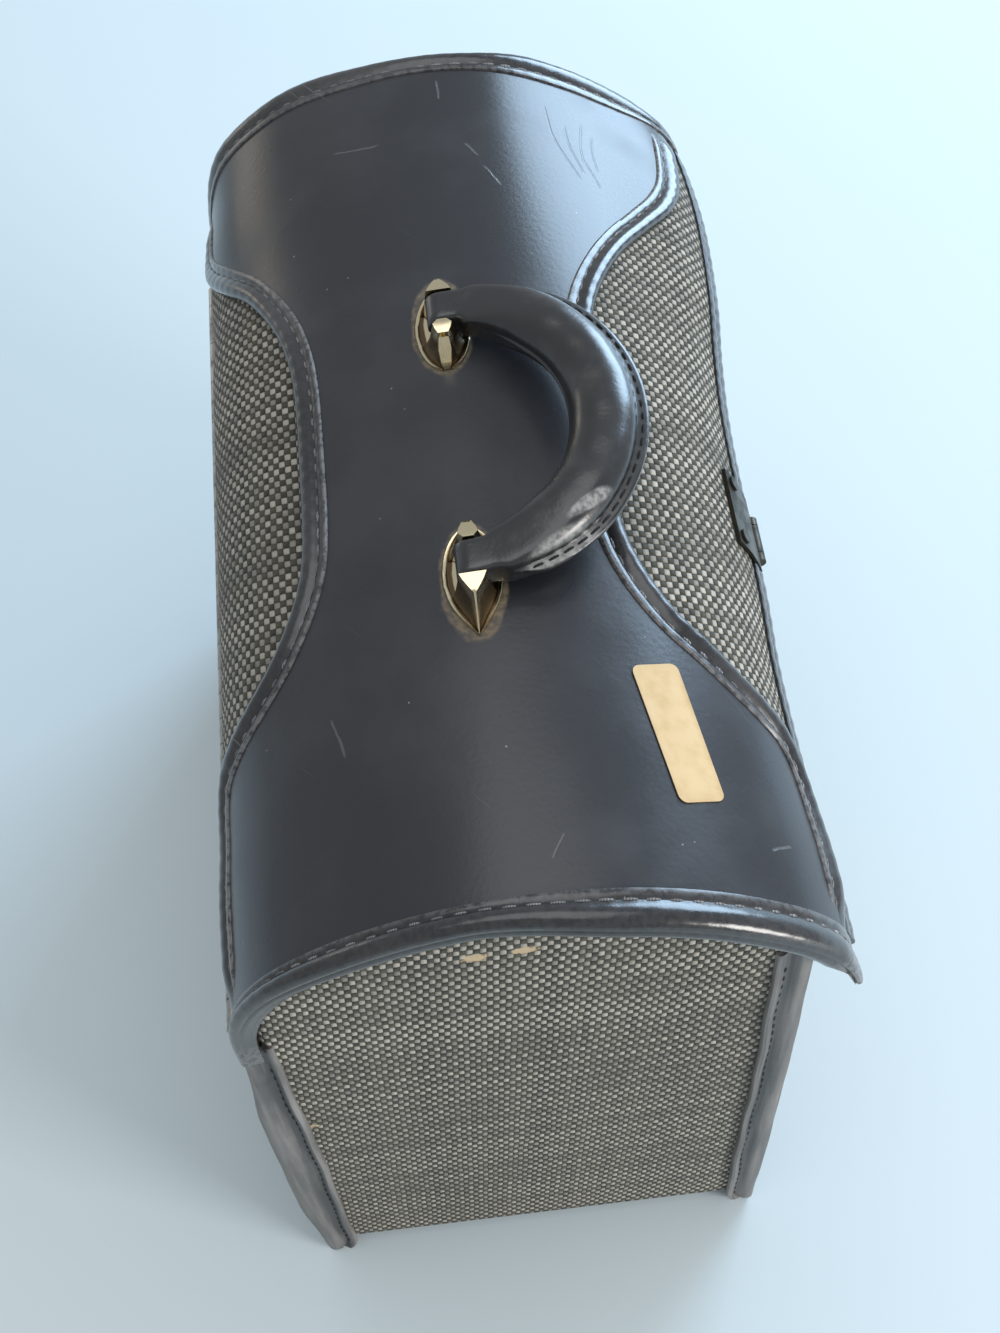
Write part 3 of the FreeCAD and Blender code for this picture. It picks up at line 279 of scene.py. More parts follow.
def flat_sheet(corner, along_u, along_v, thickness, counts):
    """Flat closed sheet: a corner, its two edges, and a thickness vector. Also gives its flat coordinates."""
    u, v = np.meshgrid(np.linspace(0, 1, counts[0]), np.linspace(0, 1, counts[1]))
    upper = np.array(corner) + u[..., None] * np.array(along_u) + v[..., None] * np.array(along_v)
    lower = upper + np.array(thickness)
    flat = np.stack([u * np.linalg.norm(along_u), v * np.linalg.norm(along_v)], axis=-1).reshape(-1, 2)
    return closed_sheet(upper, lower), np.concatenate([flat, flat])


def make_side_board(name, side, top):
    """Board of a long side, between the end boards."""
    start = (side * (HALF_WIDTH - TWEED), -END_INNER, BOARD_FOOT)
    length = (0, 2 * END_INNER, 0)
    height = (0, 0, top - BOARD_FOOT)
    shell = flat_sheet(start, length, height, (-side * BOARD, 0, 0), SIDE_BOARD_GRID)[0]
    board = add_piece(name + "_bevelled", shell, plywood, "case")
    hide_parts(name)


def rounded_loop(half_x, half_y, radius):
    """Closed rectangle in plan with rounded corners, as an array of (x, y) points."""
    turns = np.linspace(0, np.pi / 2, CORNER_STEPS)
    quarter = np.arange(4)[:, None]
    angle = (quarter * np.pi / 2 + turns[None, :]).ravel()
    sign_x = np.repeat([1, -1, -1, 1], len(turns))
    sign_y = np.repeat([1, 1, -1, -1], len(turns))
    x = sign_x * (half_x - radius) + radius * np.cos(angle)
    y = sign_y * (half_y - radius) + radius * np.sin(angle)
    return np.stack([x, y], axis=-1)


def closed_sweep(sections):
    """Solid strip: closed profiles joined from one place on the path to the next, with a cap on each end."""
    count, around = sections.shape[:2]
    numbers = np.arange(count * around).reshape(count, around)
    wrapped = np.concatenate([numbers, numbers[:, :1]], axis=1)
    faces = grid_quads(wrapped).tolist() + [numbers[0, ::-1].tolist(), numbers[-1].tolist()]
    return sections.reshape(-1, 3), faces


def ring_stack(insets, heights, corner):
    """Rounded rectangles about the middle of the case, one on another, each drawn in from the tweed."""
    rings = [rounded_loop(HALF_WIDTH - inset, HALF_LENGTH - inset, corner) for inset in insets]
    return np.stack([np.column_stack([ring, np.full(len(ring), z)]) for ring, z in zip(rings, heights)])


def make_floor_board():
    """Floor between the walls, narrower at its underside."""
    rings = ring_stack(FLOOR_INSETS, (FLOOR_UNDERSIDE, FLOOR_Z), BASE_CORNER)
    board = add_piece("base_board_bevelled", closed_sweep(rings), plywood, "case")
    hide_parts("base_board")


near_board = make_end_board("near_end_board", -1)
far_board = make_end_board("far_end_board", 1)
make_side_board("front_board", 1, FRONT_HEIGHT)
make_side_board("back_board", -1, BACK_HEIGHT)
make_floor_board()

# Tweed on the case body
# A coarse plain weave of straw and charcoal yarn is glued over the outside of the boards.
# On the ends it is rolled over the rounded top edge; the long sides run up to the rim and to the hinge.

LID_YARNS = (0.0031, 0.00295)
END_YARNS = (0.0022, 0.0035)
END_SKEW = 0.05
END_CLOTH_TURN_IN = 0.8
SIDE_CLOTH_GRID = (40, 30)
STRAW = (0.442, 0.405, 0.345, 1.0)
CHARCOAL = (0.054, 0.050, 0.034, 1.0)
GRUBBY = (0.06, 0.055, 0.045, 1.0)
BARE_DARK = (0.50, 0.36, 0.20, 1.0)
BARE_PALE = (0.62, 0.50, 0.34, 1.0)
HOLES = (((-30.3, 325.5), (5.0, 3.2)), ((-13.7, 327.0), (5.0, 2.6)), ((-95.6, 178.4), (2.2, 2.0)))
DRIFT = 0.0016


def start_group(name, inputs, outputs):
    """Empty node group with named sockets; inputs are (name, type, plain value) and outputs (name, type)."""
    group = bpy.data.node_groups.new(name, "ShaderNodeTree")
    for label, kind, value in inputs:
        socket = group.interface.new_socket(label, in_out="INPUT", socket_type="NodeSocket" + kind)
        if value is not None:
            socket.default_value = value
    for label, kind in outputs:
        group.interface.new_socket(label, in_out="OUTPUT", socket_type="NodeSocket" + kind)
    return group, group.nodes.new("NodeGroupInput").outputs, group.nodes.new("NodeGroupOutput").inputs


def make_weave_group():
    """Plain weave of two yarns: each cell shows one yarn, in turn. A yarn's height is a half circle across it
    and falls to its ends, where it dives under, and its colour darkens where it lies low, as painted shade;
    each yarn has its own tone, and slubs along its length."""
    inputs = [("Vector", "Vector", None), ("Across", "Float", 0.002), ("Along", "Float", 0.002)]
    inputs += [("First", "Color", STRAW), ("Second", "Color", CHARCOAL)]
    group, given, result = start_group("weave", inputs, [("Colour", "Color"), ("Height", "Float")])
    drift = add_node(group, "ShaderNodeTexNoise", {"Vector": given["Vector"], "Scale": 60.0, "Detail": 2.0})
    centred = vector_calc(group, "SUBTRACT", drift.outputs["Color"], (0.5, 0.5, 0.5))
    placed = vector_calc(group, "MULTIPLY_ADD", centred, (DRIFT, DRIFT, DRIFT), given["Vector"])
    parts = split(group, placed)
    column = calc(group, "DIVIDE", parts[0], given["Across"])
    row = calc(group, "DIVIDE", parts[1], given["Along"])
    column_number = calc(group, "FLOOR", column)
    row_number = calc(group, "FLOOR", row)
    column_place = calc(group, "SUBTRACT", calc(group, "FRACT", column), 0.5)
    row_place = calc(group, "SUBTRACT", calc(group, "FRACT", row), 0.5)
    turn = calc(group, "FLOORED_MODULO", calc(group, "ADD", column_number, row_number), 2.0)
    first_over = calc(group, "GREATER_THAN", turn, 0.5)
    swap = calc(group, "SUBTRACT", column_place, row_place)
    side = calc(group, "MULTIPLY_ADD", calc(group, "MULTIPLY", swap, -1.0), first_over, column_place)
    length = calc(group, "MULTIPLY_ADD", swap, first_over, row_place)
    round_side = calc(group, "SUBTRACT", 1.0, calc(group, "POWER", calc(group, "MULTIPLY", side, 1.95), 2.0))
    bulge = calc(group, "SQRT", calc(group, "MAXIMUM", round_side, 0.0))
    dive = calc(group, "COSINE", calc(group, "MULTIPLY", length, 2.9))
    height = calc(group, "MULTIPLY", bulge, calc(group, "POWER", calc(group, "MAXIMUM", dive, 0.0), 0.6))
    row_tone = add_node(group, "ShaderNodeTexWhiteNoise", {"W": row_number}, noise_dimensions="1D")
    column_tone = add_node(group, "ShaderNodeTexWhiteNoise", {"W": column_number}, noise_dimensions="1D")
    slub = cloud(group, stretch(group, given["Vector"], (0.35, 1.0, 1.0)), 420.0, 3.0)
    fibre = cloud(group, given["Vector"], 2600.0, 2.0)
    cell = add_node(group, "ShaderNodeCombineXYZ", {0: column_number, 1: row_number})
    cell_tone = add_node(group, "ShaderNodeTexWhiteNoise", {"Vector": cell.outputs[0]}, noise_dimensions="2D")
    uneven = calc(group, "MULTIPLY_ADD", cell_tone.outputs["Value"], 0.5, slub)
    straw_share = fade(group, calc(group, "ADD", row_tone.outputs["Value"], uneven), 0.5, 1.9, 0.55, 1.15)
    dark_share = fade(group, calc(group, "ADD", column_tone.outputs["Value"], slub), 0.4, 1.6, 0.7, 1.5)
    gain = calc(group, "SUBTRACT", straw_share, dark_share)
    share = calc(group, "MULTIPLY_ADD", gain, first_over, dark_share)
    # Painted shade: the colour darkens where a yarn lies low, where it dives under its neighbours.
    depth_shade = fade(group, height, 0.0, 0.75, 0.25, 1.0)
    fibre_shade = fade(group, fibre, 0.2, 0.8, 0.8, 1.2)
    shade = calc(group, "MULTIPLY", calc(group, "MULTIPLY", share, depth_shade), fibre_shade)
    yarn = blend_colours(group, first_over, given["Second"], given["First"])
    tinted = add_node(group, "ShaderNodeVectorMath", {0: yarn, 3: shade}, operation="SCALE")
    group.links.new(tinted.outputs[0], result["Colour"])
    fuzz = calc(group, "MULTIPLY_ADD", fibre, 0.25, height)
    group.links.new(fuzz, result["Height"])
    return group


weave_group = make_weave_group()


def start_cloth(name, settings, across, along, first, second):
    """Material with the weave on the piece's flat coordinates."""
    material, tree, shader, place = start_material(name, settings)
    inputs = {"Vector": place.outputs["UV"], "Across": across, "Along": along}
    inputs.update({"First": first, "Second": second})
    weave = add_node(tree, "ShaderNodeGroup", inputs, node_tree=weave_group)
    return material, tree, shader, place, weave


def oval_mask(tree, across, up, centre, size, inner=0.7, outer=1.08):
    """Spot on a surface: 1 inside an oval about centre, falling to 0 between the shares inner and outer of
    its half size. Centre and size are in millimetres."""
    x = calc(tree, "DIVIDE", calc(tree, "SUBTRACT", across, centre[0] / 1000), size[0] / 1000)
    z = calc(tree, "DIVIDE", calc(tree, "SUBTRACT", up, centre[1] / 1000), size[1] / 1000)
    spread = calc(tree, "SQRT", calc(tree, "ADD", calc(tree, "MULTIPLY", x, x), calc(tree, "MULTIPLY", z, z)))
    return fade(tree, spread, inner, outer, 1.0, 0.0)


def strongest(tree, masks):
    """The largest of several masks at each place."""
    result = 0.0
    for mask in masks:
        result = calc(tree, "MAXIMUM", mask, result)
    return result


def make_tweed(name, yarns, holes=()):
    """Straw and charcoal weave, a little grubby in broad patches, and rubbed through to the bare board at
    each hole, a ragged oval with a place and a half size. Yarns are the pitches across and along."""
    settings = {"Specular IOR Level": 0.25, "Sheen Weight": 0.08, "Sheen Roughness": 0.5}
    material, tree, shader, place, weave = start_cloth(name, settings, *yarns, STRAW, CHARCOAL)
    grub = fade(tree, cloud(tree, place.outputs["Object"], 22.0, 4.0), 0.45, 0.8, 0.0, 0.35)
    colour = blend_colours(tree, grub, weave.outputs["Colour"], GRUBBY)
    height = weave.outputs["Height"]
    if holes:
        flat = place.outputs["UV"]
        ragged = calc(tree, "MULTIPLY", calc(tree, "SUBTRACT", cloud(tree, flat, 500.0), 0.5), 0.004)
        parts = split(tree, flat)
        across = calc(tree, "ADD", parts[0], ragged)
        up = calc(tree, "ADD", parts[1], ragged)
        worn = strongest(tree, [oval_mask(tree, across, up, *hole) for hole in holes])
        bare = blend_colours(tree, cloud(tree, flat, 900.0, 3.0), BARE_DARK, BARE_PALE)
        colour = blend_colours(tree, worn, colour, bare)
        height = calc(tree, "MULTIPLY", height, calc(tree, "SUBTRACT", 1.0, worn))
    set_surface(tree, shader, colour, fade(tree, height, 0.0, 1.0, 0.95, 0.7), height, 0.0007)
    return material


def add_side_cloth(name, x, z_top):
    """Tweed on one long side, from the base band to z_top."""
    height = z_top - BASE_BAND
    start = (x, -HALF_LENGTH, BASE_BAND)
    inward = (-np.sign(x) * TWEED, 0, 0)
    shell, flat = flat_sheet(start, (0, 2 * HALF_LENGTH, 0), (0, 0, height), inward, SIDE_CLOTH_GRID)
    cloth = add_piece(name + "_cloth", shell, tweed, "case", flat)
    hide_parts(name)


def add_end_cloth(name, side, material):
    """Tweed on one end, rolled over the top edge."""
    inner_y = END_INNER - END_CLOTH_TURN_IN
    outer, flat = end_skin(0.0, inner_y, side)
    inner = end_skin(TWEED, inner_y, side)[0]
    flat = flat.reshape(-1, 2)
    flat[:, 0] -= END_SKEW * flat[:, 1]
    shell = closed_sheet(outer, inner)
    cloth = add_piece(name + "_cloth", shell, material, "case", np.concatenate([flat, flat]))
    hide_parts(name)


tweed = make_tweed("tweed", LID_YARNS)
end_tweed = make_tweed("end tweed", END_YARNS)
worn_tweed = make_tweed("worn tweed", END_YARNS, HOLES)
add_side_cloth("front_cover", HALF_WIDTH, FRONT_HEIGHT)
add_side_cloth("back_cover", -HALF_WIDTH, BACK_HEIGHT)
add_end_cloth("near_end_cover", -1, worn_tweed)
add_end_cloth("far_end_cover", 1, end_tweed)

# Lining of the case body
# A thin grey-brown cotton is glued to the floor and the four walls inside.
# It ends under the front rim, at the hinge rail, and under the rolled tweed of the ends.

LINING = 0.8
RAIL = 10.0
LINING_GRID = (24, 12)
LINING_YARN = 0.0009
LINING_STAIN = (0.07, 0.058, 0.045, 1.0)
LINING_WARP = (0.20, 0.175, 0.145, 1.0)
LINING_WEFT = (0.145, 0.125, 0.105, 1.0)


def make_lining():
    """Fine plain cotton weave with faint stains."""
    settings = {"Specular IOR Level": 0.2, "Sheen Weight": 0.15, "Sheen Roughness": 0.4}
    yarns = (LINING_YARN, LINING_YARN, LINING_WARP, LINING_WEFT)
    material, tree, shader, place, weave = start_cloth("lining", settings, *yarns)
    stain = fade(tree, cloud(tree, place.outputs["Object"], 9.0, 4.0), 0.5, 0.75, 0.0, 0.5)
    colour = blend_colours(tree, stain, weave.outputs["Colour"], LINING_STAIN)
    rough = fade(tree, weave.outputs["Height"], 0.0, 1.0, 0.95, 0.8)
    set_surface(tree, shader, colour, rough, weave.outputs["Height"], 0.0003)
    return material


def join_shells(shells):
    """Several closed shells as one list of points and faces."""
    points = []
    faces = []
    start = 0
    for shell_points, shell_faces in shells:
        points.append(shell_points)
        faces += [[corner + start for corner in face] for face in shell_faces]
        start += len(shell_points)
    return np.concatenate(points), faces


def end_lining(side):
    """Lining on an end board, with its top just under the rolled tweed."""
    outer, flat = end_skin(BOARD_INSET, END_INNER, side)
    limit = SIDE_INNER - LINING
    outer[..., 0] = np.clip(outer[..., 0], -limit, limit)
    outer[..., 1] = side * END_INNER
    outer[..., 2] = np.maximum(outer[..., 2], FLOOR_Z + LINING)
    inner = outer - np.array((0, side * LINING, 0))
    flat = flat[:-1].reshape(-1, 2)
    return closed_sheet(outer[:-1], inner[:-1]), np.concatenate([flat, flat])


def add_body_lining():
    """One cloth of five faces: the floor, the front and back walls, and both ends."""
    rise = FLOOR_Z + LINING
    run = (0, 2 * END_INNER, 0)
    width = (2 * SIDE_INNER, 0, 0)
    front = (0, 0, FRONT_HEIGHT - rise)
    back = (0, 0, BACK_HEIGHT - RAIL - rise)
    pieces = [
        flat_sheet((-SIDE_INNER, -END_INNER, FLOOR_Z), width, run, (0, 0, LINING), LINING_GRID[::-1]),
        flat_sheet((SIDE_INNER, -END_INNER, rise), run, front, (-LINING, 0, 0), LINING_GRID),
        flat_sheet((-SIDE_INNER, -END_INNER, rise), run, back, (LINING, 0, 0), LINING_GRID),
        end_lining(-1),
        end_lining(1),
    ]
    shell = join_shells([piece[0] for piece in pieces])
    flat = np.concatenate([piece[1] for piece in pieces])
    cloth = add_piece("body_lining_cloth", shell, lining, "case", flat)
    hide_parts("body_lining")


lining = make_lining()
add_body_lining()

# Vinyl under the base
# A black leathercloth is glued over the whole underside of the case.
# It is turned up over the drawn-in foot, to the edge of the tweed.

VINYL_BLACK = (0.0150, 0.0160, 0.0190, 1.0)
VINYL_RUBBED = (0.060, 0.060, 0.064, 1.0)
VINYL_BACKING_AND_HIGHLIGHT = (0.25, 0.238, 0.235, 1.0)
DUST_GREY = (0.42, 0.42, 0.42, 1.0)
TRAY_INSETS = (60.0, 6.4, 1.5, 1.2, 0.5, 0.1, 0.4, 3.2, 5.0, 5.7, 6.8, 60.0)
TRAY_HEIGHTS = (1.15, 1.15, 13.8, 14.7, 15.1, 14.5, 13.2, 5.0, 1.2, 0.3, 0.0, 0.0)


def make_wear_group():
    """Old leathercloth: broad smears, rare dust specks, fine scratches, and a shallow pressed grain."""
    group, given, result = start_group(
        "worn leathercloth", [("Vector", "Vector", None), ("Grain", "Float", 900.0)],
        [("Smear", "Float"), ("Specks", "Float"), ("Scratches", "Float"), ("Height", "Float")])
    vector = given["Vector"]
    smear = fade(group, cloud(group, vector, 16.0, 5.0), 0.42, 0.72)
    group.links.new(smear, result["Smear"])
    dots = add_node(group, "ShaderNodeTexVoronoi", {"Vector": vector, "Scale": 230.0})
    chosen = add_node(group, "ShaderNodeSeparateColor", {0: dots.outputs["Color"]})
    small = fade(group, dots.outputs["Distance"], 0.05, 0.11, 1.0, 0.0)
    specks = calc(group, "MULTIPLY", small, calc(group, "GREATER_THAN", chosen.outputs[0], 0.955))
    group.links.new(specks, result["Specks"])
    slant = {"Vector": vector, "Axis": (0.0, 0.0, 1.0), "Angle": 0.9}
    turned = add_node(group, "ShaderNodeVectorRotate", slant)
    lines = cloud(group, stretch(group, turned.outputs[0], (14.0, 900.0, 14.0)), 1.0, 2.0)
    sparse = fade(group, cloud(group, vector, 30.0), 0.55, 0.75)
    scratches = calc(group, "MULTIPLY", fade(group, lines, 0.70, 0.76), sparse)
    group.links.new(scratches, result["Scratches"])
    grain = add_node(group, "ShaderNodeTexNoise", {"Vector": vector, "Scale": given["Grain"], "Detail": 2.0})
    height = calc(group, "SUBTRACT", grain.outputs[0], calc(group, "MULTIPLY", scratches, 0.6))
    group.links.new(height, result["Height"])
    return group


wear_group = make_wear_group()


def make_edge_vinyl():
    """Black leathercloth with grey smears, specks and scratches. Where the piece's points are painted worn,
    its cotton backing shows through in pale flecks; on the tongues' edges these are partly wear and partly a
    painted highlight."""
    settings = {"Specular IOR Level": 0.55, "Coat Weight": 0.4, "Coat Roughness": 0.2}
    material, tree, shader, place = start_material("vinyl edges", settings)
    inputs = {"Vector": place.outputs["Object"], "Grain": 700.0}
    wear = add_node(tree, "ShaderNodeGroup", inputs, node_tree=wear_group)
    lines = calc(tree, "MULTIPLY", wear.outputs["Scratches"], 0.6)
    marks = calc(tree, "MAXIMUM", wear.outputs["Specks"], lines)
    share = calc(tree, "MULTIPLY", wear.outputs["Smear"], 0.6)
    cloudy = blend_colours(tree, share, VINYL_BLACK, VINYL_RUBBED)
    painted = add_node(tree, "ShaderNodeAttribute", attribute_name="worn")
    flecks = fade(tree, cloud(tree, place.outputs["Object"], 420.0, 4.0), 0.34, 0.6, 0.15, 1.0)
    # Pale flecks where painted worn: wear on the tails, and partly a painted highlight on the tongues' edges.
    fray_and_edge_highlight = calc(tree, "MULTIPLY", painted.outputs["Fac"], flecks)
    faded = blend_colours(tree, fray_and_edge_highlight, cloudy, VINYL_BACKING_AND_HIGHLIGHT)
    colour = blend_colours(tree, calc(tree, "MULTIPLY", marks, 0.5), faded, DUST_GREY)
    rough = fade(tree, wear.outputs["Smear"], 0.0, 1.0, 0.21, 0.33)
    rough = calc(tree, "MULTIPLY_ADD", fray_and_edge_highlight, 0.3, rough)
    set_surface(tree, shader, colour, rough, wear.outputs["Height"], 0.00006)
    return material


def add_base_vinyl():
    """Shallow tray: rings from the middle of its floor inside, over its slanting wall, and back under the
    base."""
    rings = ring_stack(TRAY_INSETS, TRAY_HEIGHTS, BASE_CORNER)
    tray = add_piece("base_vinyl", closed_sweep(rings), vinyl_edge, "case")
    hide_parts("base_cover")


vinyl_edge = make_edge_vinyl()
add_base_vinyl()

# Corner and rim bindings of the case
# Strips of black leathercloth are folded over the four upright corners and over the top of the front wall.
# Each leg is sewn down in a shallow groove, with grey thread on the rim and sooty thread on the corners.

CORNER_PROFILE = np.array([
    (11.0, -0.02), (11.0, 1.1), (10.4, 1.8), (9.2, 2.0), (8.0, 1.4), (6.9, 0.6), (5.4, 0.7), (3.8, 1.6),
    (1.0, 2.0), (-0.6, 1.9), (-1.5, 1.5), (-1.9, 0.6), (-2.0, -1.0), (-1.6, -3.8), (-0.7, -5.4), (-0.6, -6.9),
    (-1.4, -8.0), (-2.0, -9.2), (-1.8, -10.4), (-1.1, -11.0), (0.02, -11.0), (0.02, -0.02),
])
CORNER_GROOVES = (5, 15)
CORNER_SKIN = 0.02
CORNER_HOLLOW = np.array([
    0.0, 0.0, 0.0, 0.0, 0.5, 1.0, 1.0, 0.4, 0.0, 0.0, 0.0,
    0.0, 0.0, 0.4, 1.0, 1.0, 0.5, 0.0, 0.0, 0.0, 0.0, 0.0,
])
RIM_PROFILE = np.array([
    (100.02, 292.0), (101.0, 292.0), (101.5, 293.0), (101.5, 296.4), (101.0, 297.4), (101.6, 298.6),
    (101.7, 300.6), (100.8, 302.0), (98.0, 302.5), (96.0, 302.5), (93.4, 302.0), (92.5, 300.6), (92.4, 298.6),
    (92.9, 297.4), (92.5, 296.4), (92.5, 293.0), (93.0, 292.0), (93.98, 292.0), (93.98, 301.02),
    (100.02, 301.02),
])
RIM_GROOVES = (4, 13)
RIM_MIDDLE = 97.0
RIM_HALF_INSIDE = 3.05
RIM_END_GAP = 12.2
STITCH_PITCH = 7.6
STITCH_LENGTH = 5.0
STITCH_RADIUS = 0.55
THREAD_GREY = (0.40, 0.40, 0.41, 1.0)
THREAD_GRIME_AND_SHADE = (0.13, 0.13, 0.135, 1.0)
THREAD_SOOTY = (0.055, 0.054, 0.055, 1.0)
THREAD_BLACK = (0.02, 0.02, 0.02, 1.0)
CORNER_DARK = (0.050, 0.048, 0.047, 1.0)
CORNER_WORN = (0.290, 0.275, 0.265, 1.0)
HIDDEN_TOP = 9.0


def make_thread(name, colour_light, colour_dark):
    """Twisted thread: diagonal plies, darker between them as painted shade, and in patches of grime."""
    material, tree, shader, place = start_material(name, {"Specular IOR Level": 0.3})
    slant = {"Vector": place.outputs["Object"], "Axis": (1.0, 1.0, 1.0), "Angle": 0.7}
    turned = add_node(tree, "ShaderNodeVectorRotate", slant)
    inputs = {"Vector": turned.outputs[0], "Scale": 420.0, "Distortion": 1.0}
    ply = add_node(tree, "ShaderNodeTexWave", inputs)
    grime = cloud(tree, place.outputs["Object"], 90.0, 3.0)
    # Painted shade: the colour darkens where the plies dip; the grime cloud darkens it in patches.
    share = calc(tree, "MULTIPLY", ply.outputs["Fac"], fade(tree, grime, 0.3, 0.65))
    colour = blend_colours(tree, share, colour_dark, colour_light)
    set_surface(tree, shader, colour, fade(tree, grime, 0.2, 0.8, 0.6, 0.85), ply.outputs["Fac"], 0.0001)
    return material


def unit(vectors):
    """Vectors of the same directions, each of length 1."""
    return vectors / np.linalg.norm(vectors, axis=-1, keepdims=True)


def path_reach(path):
    """Length along a path from its start to each of its points."""
    return np.concatenate([[0], np.cumsum(np.linalg.norm(np.diff(path, axis=0), axis=1))])


def along_path(places, reach, values):
    """Values given at each point of a path, read off at places along its length."""
    return np.stack([np.interp(places, reach, column) for column in values.T], axis=-1)


def stitch_row(path, normals, pitch=STITCH_PITCH, length=STITCH_LENGTH):
    """Row of stitches along a path: long beads, each a ring of six points at five places along its length,
    spaced evenly by the path's own length, half sunk into the surface, and a little uneven."""
    reach = path_reach(path)
    middles = np.arange(pitch / 2, reach[-1] - pitch / 2, pitch)
    centre = along_path(middles, reach, path)
    ahead = along_path(middles + 0.5, reach, path)
    up = unit(along_path(middles, reach, normals))
    tangent = unit(ahead - centre)
    across = unit(np.cross(up, tangent))
    slide = np.array([-1.0, -0.75, 0.0, 0.75, 1.0])
    swell = np.array([0.25, 0.85, 1.0, 0.85, 0.25])
    sag = np.array([-1.0, -0.25, 0.15, -0.25, -1.0])
    angle = np.arange(6) * np.pi / 3
    ring_across = STITCH_RADIUS * swell[:, None] * np.cos(angle)[None, :]
    ring_up = STITCH_RADIUS * (swell[:, None] * np.sin(angle)[None, :] + sag[:, None])
    number = np.arange(len(middles))[:, None, None]
    ring_along = (slide * length / 2)[None, :, None] * (1 + 0.16 * np.sin(12.9 * number))
    ring_across = ring_across[None] + 0.4 * STITCH_RADIUS * np.sin(7.1 * number)
    points = centre[:, None, None, :] + ring_along[..., None] * tangent[:, None, None, :]
    points = points + ring_across[..., None] * across[:, None, None, :]
    points = points + ring_up[..., None] * up[:, None, None, :]
    return join_shells([closed_sweep(bead) for bead in points])


def smooth_step(value, low, high):
    """Rise from 0 to 1 between low and high, level at both ends."""
    share = np.clip((value - low) / (high - low), 0, 1)
    return share * share * (3 - 2 * share)


def hump(value, start, full, fall, end):
    """Rise from 0 to 1 between start and full, and fall back to 0 between fall and end."""
    return smooth_step(value, start, full) * (1 - smooth_step(value, fall, end))


def paint(piece, name, values):
    """Writes one value for each point of a piece, for its material to read."""
    layer = piece.data.attributes.new(name, "FLOAT", "POINT")
    layer.data.foreach_set("value", np.asarray(values, dtype=np.float32).ravel())


def tip_scale(distance, length):
    """Swelling of a strip near a rounded end: the rise of a quarter circle over length."""
    share = np.clip(distance / length, 0, 1)
    return np.sqrt(np.clip(1 - (1 - share) ** 2, 0.02, 1))


def add_corner_binding(name, x_side, y_side, top, bow, hidden_top):
    """Folded strip up one corner, thinning at its foot and head. Its side leg stands off by bow where the
    strip has worked loose, both legs wander a little, and the end leg goes on by hidden_top, up behind the
    lid."""
    z = np.concatenate([np.linspace(0.2, 6.0, 9)[:-1], np.arange(6.0, top + hidden_top + 0.5, 1.5)])
    pucker = 1 + 0.05 * np.sin(z / 17.0 + 3 * y_side) + 0.04 * np.sin(z / 7.3 + x_side)
    swell = pucker * tip_scale(z, 6.0) * tip_scale(top + hidden_top + 1.5 - z, 4.0)
    loose = hump(z, 0.0, 0.3 * top, 0.72 * top, top)
    low = tip_scale(z, 14.0) * (1 - smooth_step(z, 0.3 * top, top))
    swell = swell + bow / 2.0 * (0.35 * low + 0.65 * loose)
    end_swell = np.minimum(swell, 1.5)
    drift = (0.5 * np.sin(z / 31.0 + x_side + 2 * y_side) + 0.25 * np.sin(z / 9.0))[:, None]
    narrow = 1 - 0.7 * (1 - tip_scale(z, 13.0))[:, None]
    leg_x, leg_y = CORNER_PROFILE.T
    out_x = np.where(leg_x < 0, leg_x * swell[:, None], leg_x * narrow + drift)
    out_y = np.where(leg_y > 0, leg_y * end_swell[:, None], leg_y * narrow + drift)
    out_x = np.where(leg_x == CORNER_SKIN, CORNER_SKIN, out_x)
    out_y = np.where(leg_y == -CORNER_SKIN, -CORNER_SKIN, out_y)
    behind_lid = (z > top)[:, None]
    out_x = np.where(behind_lid, np.maximum(out_x, CORNER_SKIN), out_x)
    out_y = np.where(behind_lid, np.maximum(out_y, -4.0), out_y)
    x = x_side * (HALF_WIDTH - out_x)
    y = y_side * (HALF_LENGTH + out_y)
    sections = np.stack([x, y, np.broadcast_to(z[:, None], x.shape)], axis=-1)
    strip = add_piece(name + "_strip", closed_sweep(sections), vinyl_corner, "case")
    paint(strip, "hollow", np.broadcast_to(CORNER_HOLLOW, x.shape))
    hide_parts(name)
    inside = (z > 6) & (z < top - 4)
    rows = []
    for groove, normal in zip(CORNER_GROOVES, ((0.0, y_side, 0.0), (x_side, 0.0, 0.0))):
        rows.append(stitch_row(sections[inside, groove], np.tile(normal, (inside.sum(), 1))))
    add_piece(name + "_stitches", join_shells(rows), sooty_thread, "case")


def add_rim_binding():
    """Channel over the top of the front wall, between the corner strips."""
    half_run = HALF_LENGTH - RIM_END_GAP
    y = np.arange(-half_run, half_run + 0.5, 1.5)
    swell = 1 + 0.02 * np.sin(y / 19.0)
    off = RIM_PROFILE[:, 0] - RIM_MIDDLE
    x = RIM_MIDDLE + off * swell[:, None]
    x = np.where(np.abs(off) < RIM_HALF_INSIDE, RIM_PROFILE[:, 0], x)
    z = np.broadcast_to(RIM_PROFILE[:, 1], x.shape)
    sections = np.stack([x, np.broadcast_to(y[:, None], x.shape), z], axis=-1)
    strip = add_piece("front_rim_strip", closed_sweep(sections), vinyl_edge, "case")
    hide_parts("front_rim_binding")
    rows = []
    for groove, face in zip(RIM_GROOVES, (1.0, -1.0)):
        rows.append(stitch_row(sections[:, groove], np.tile((face, 0.0, 0.0), (len(y), 1))))
    add_piece("front_rim_stitches", join_shells(rows), thread, "case")


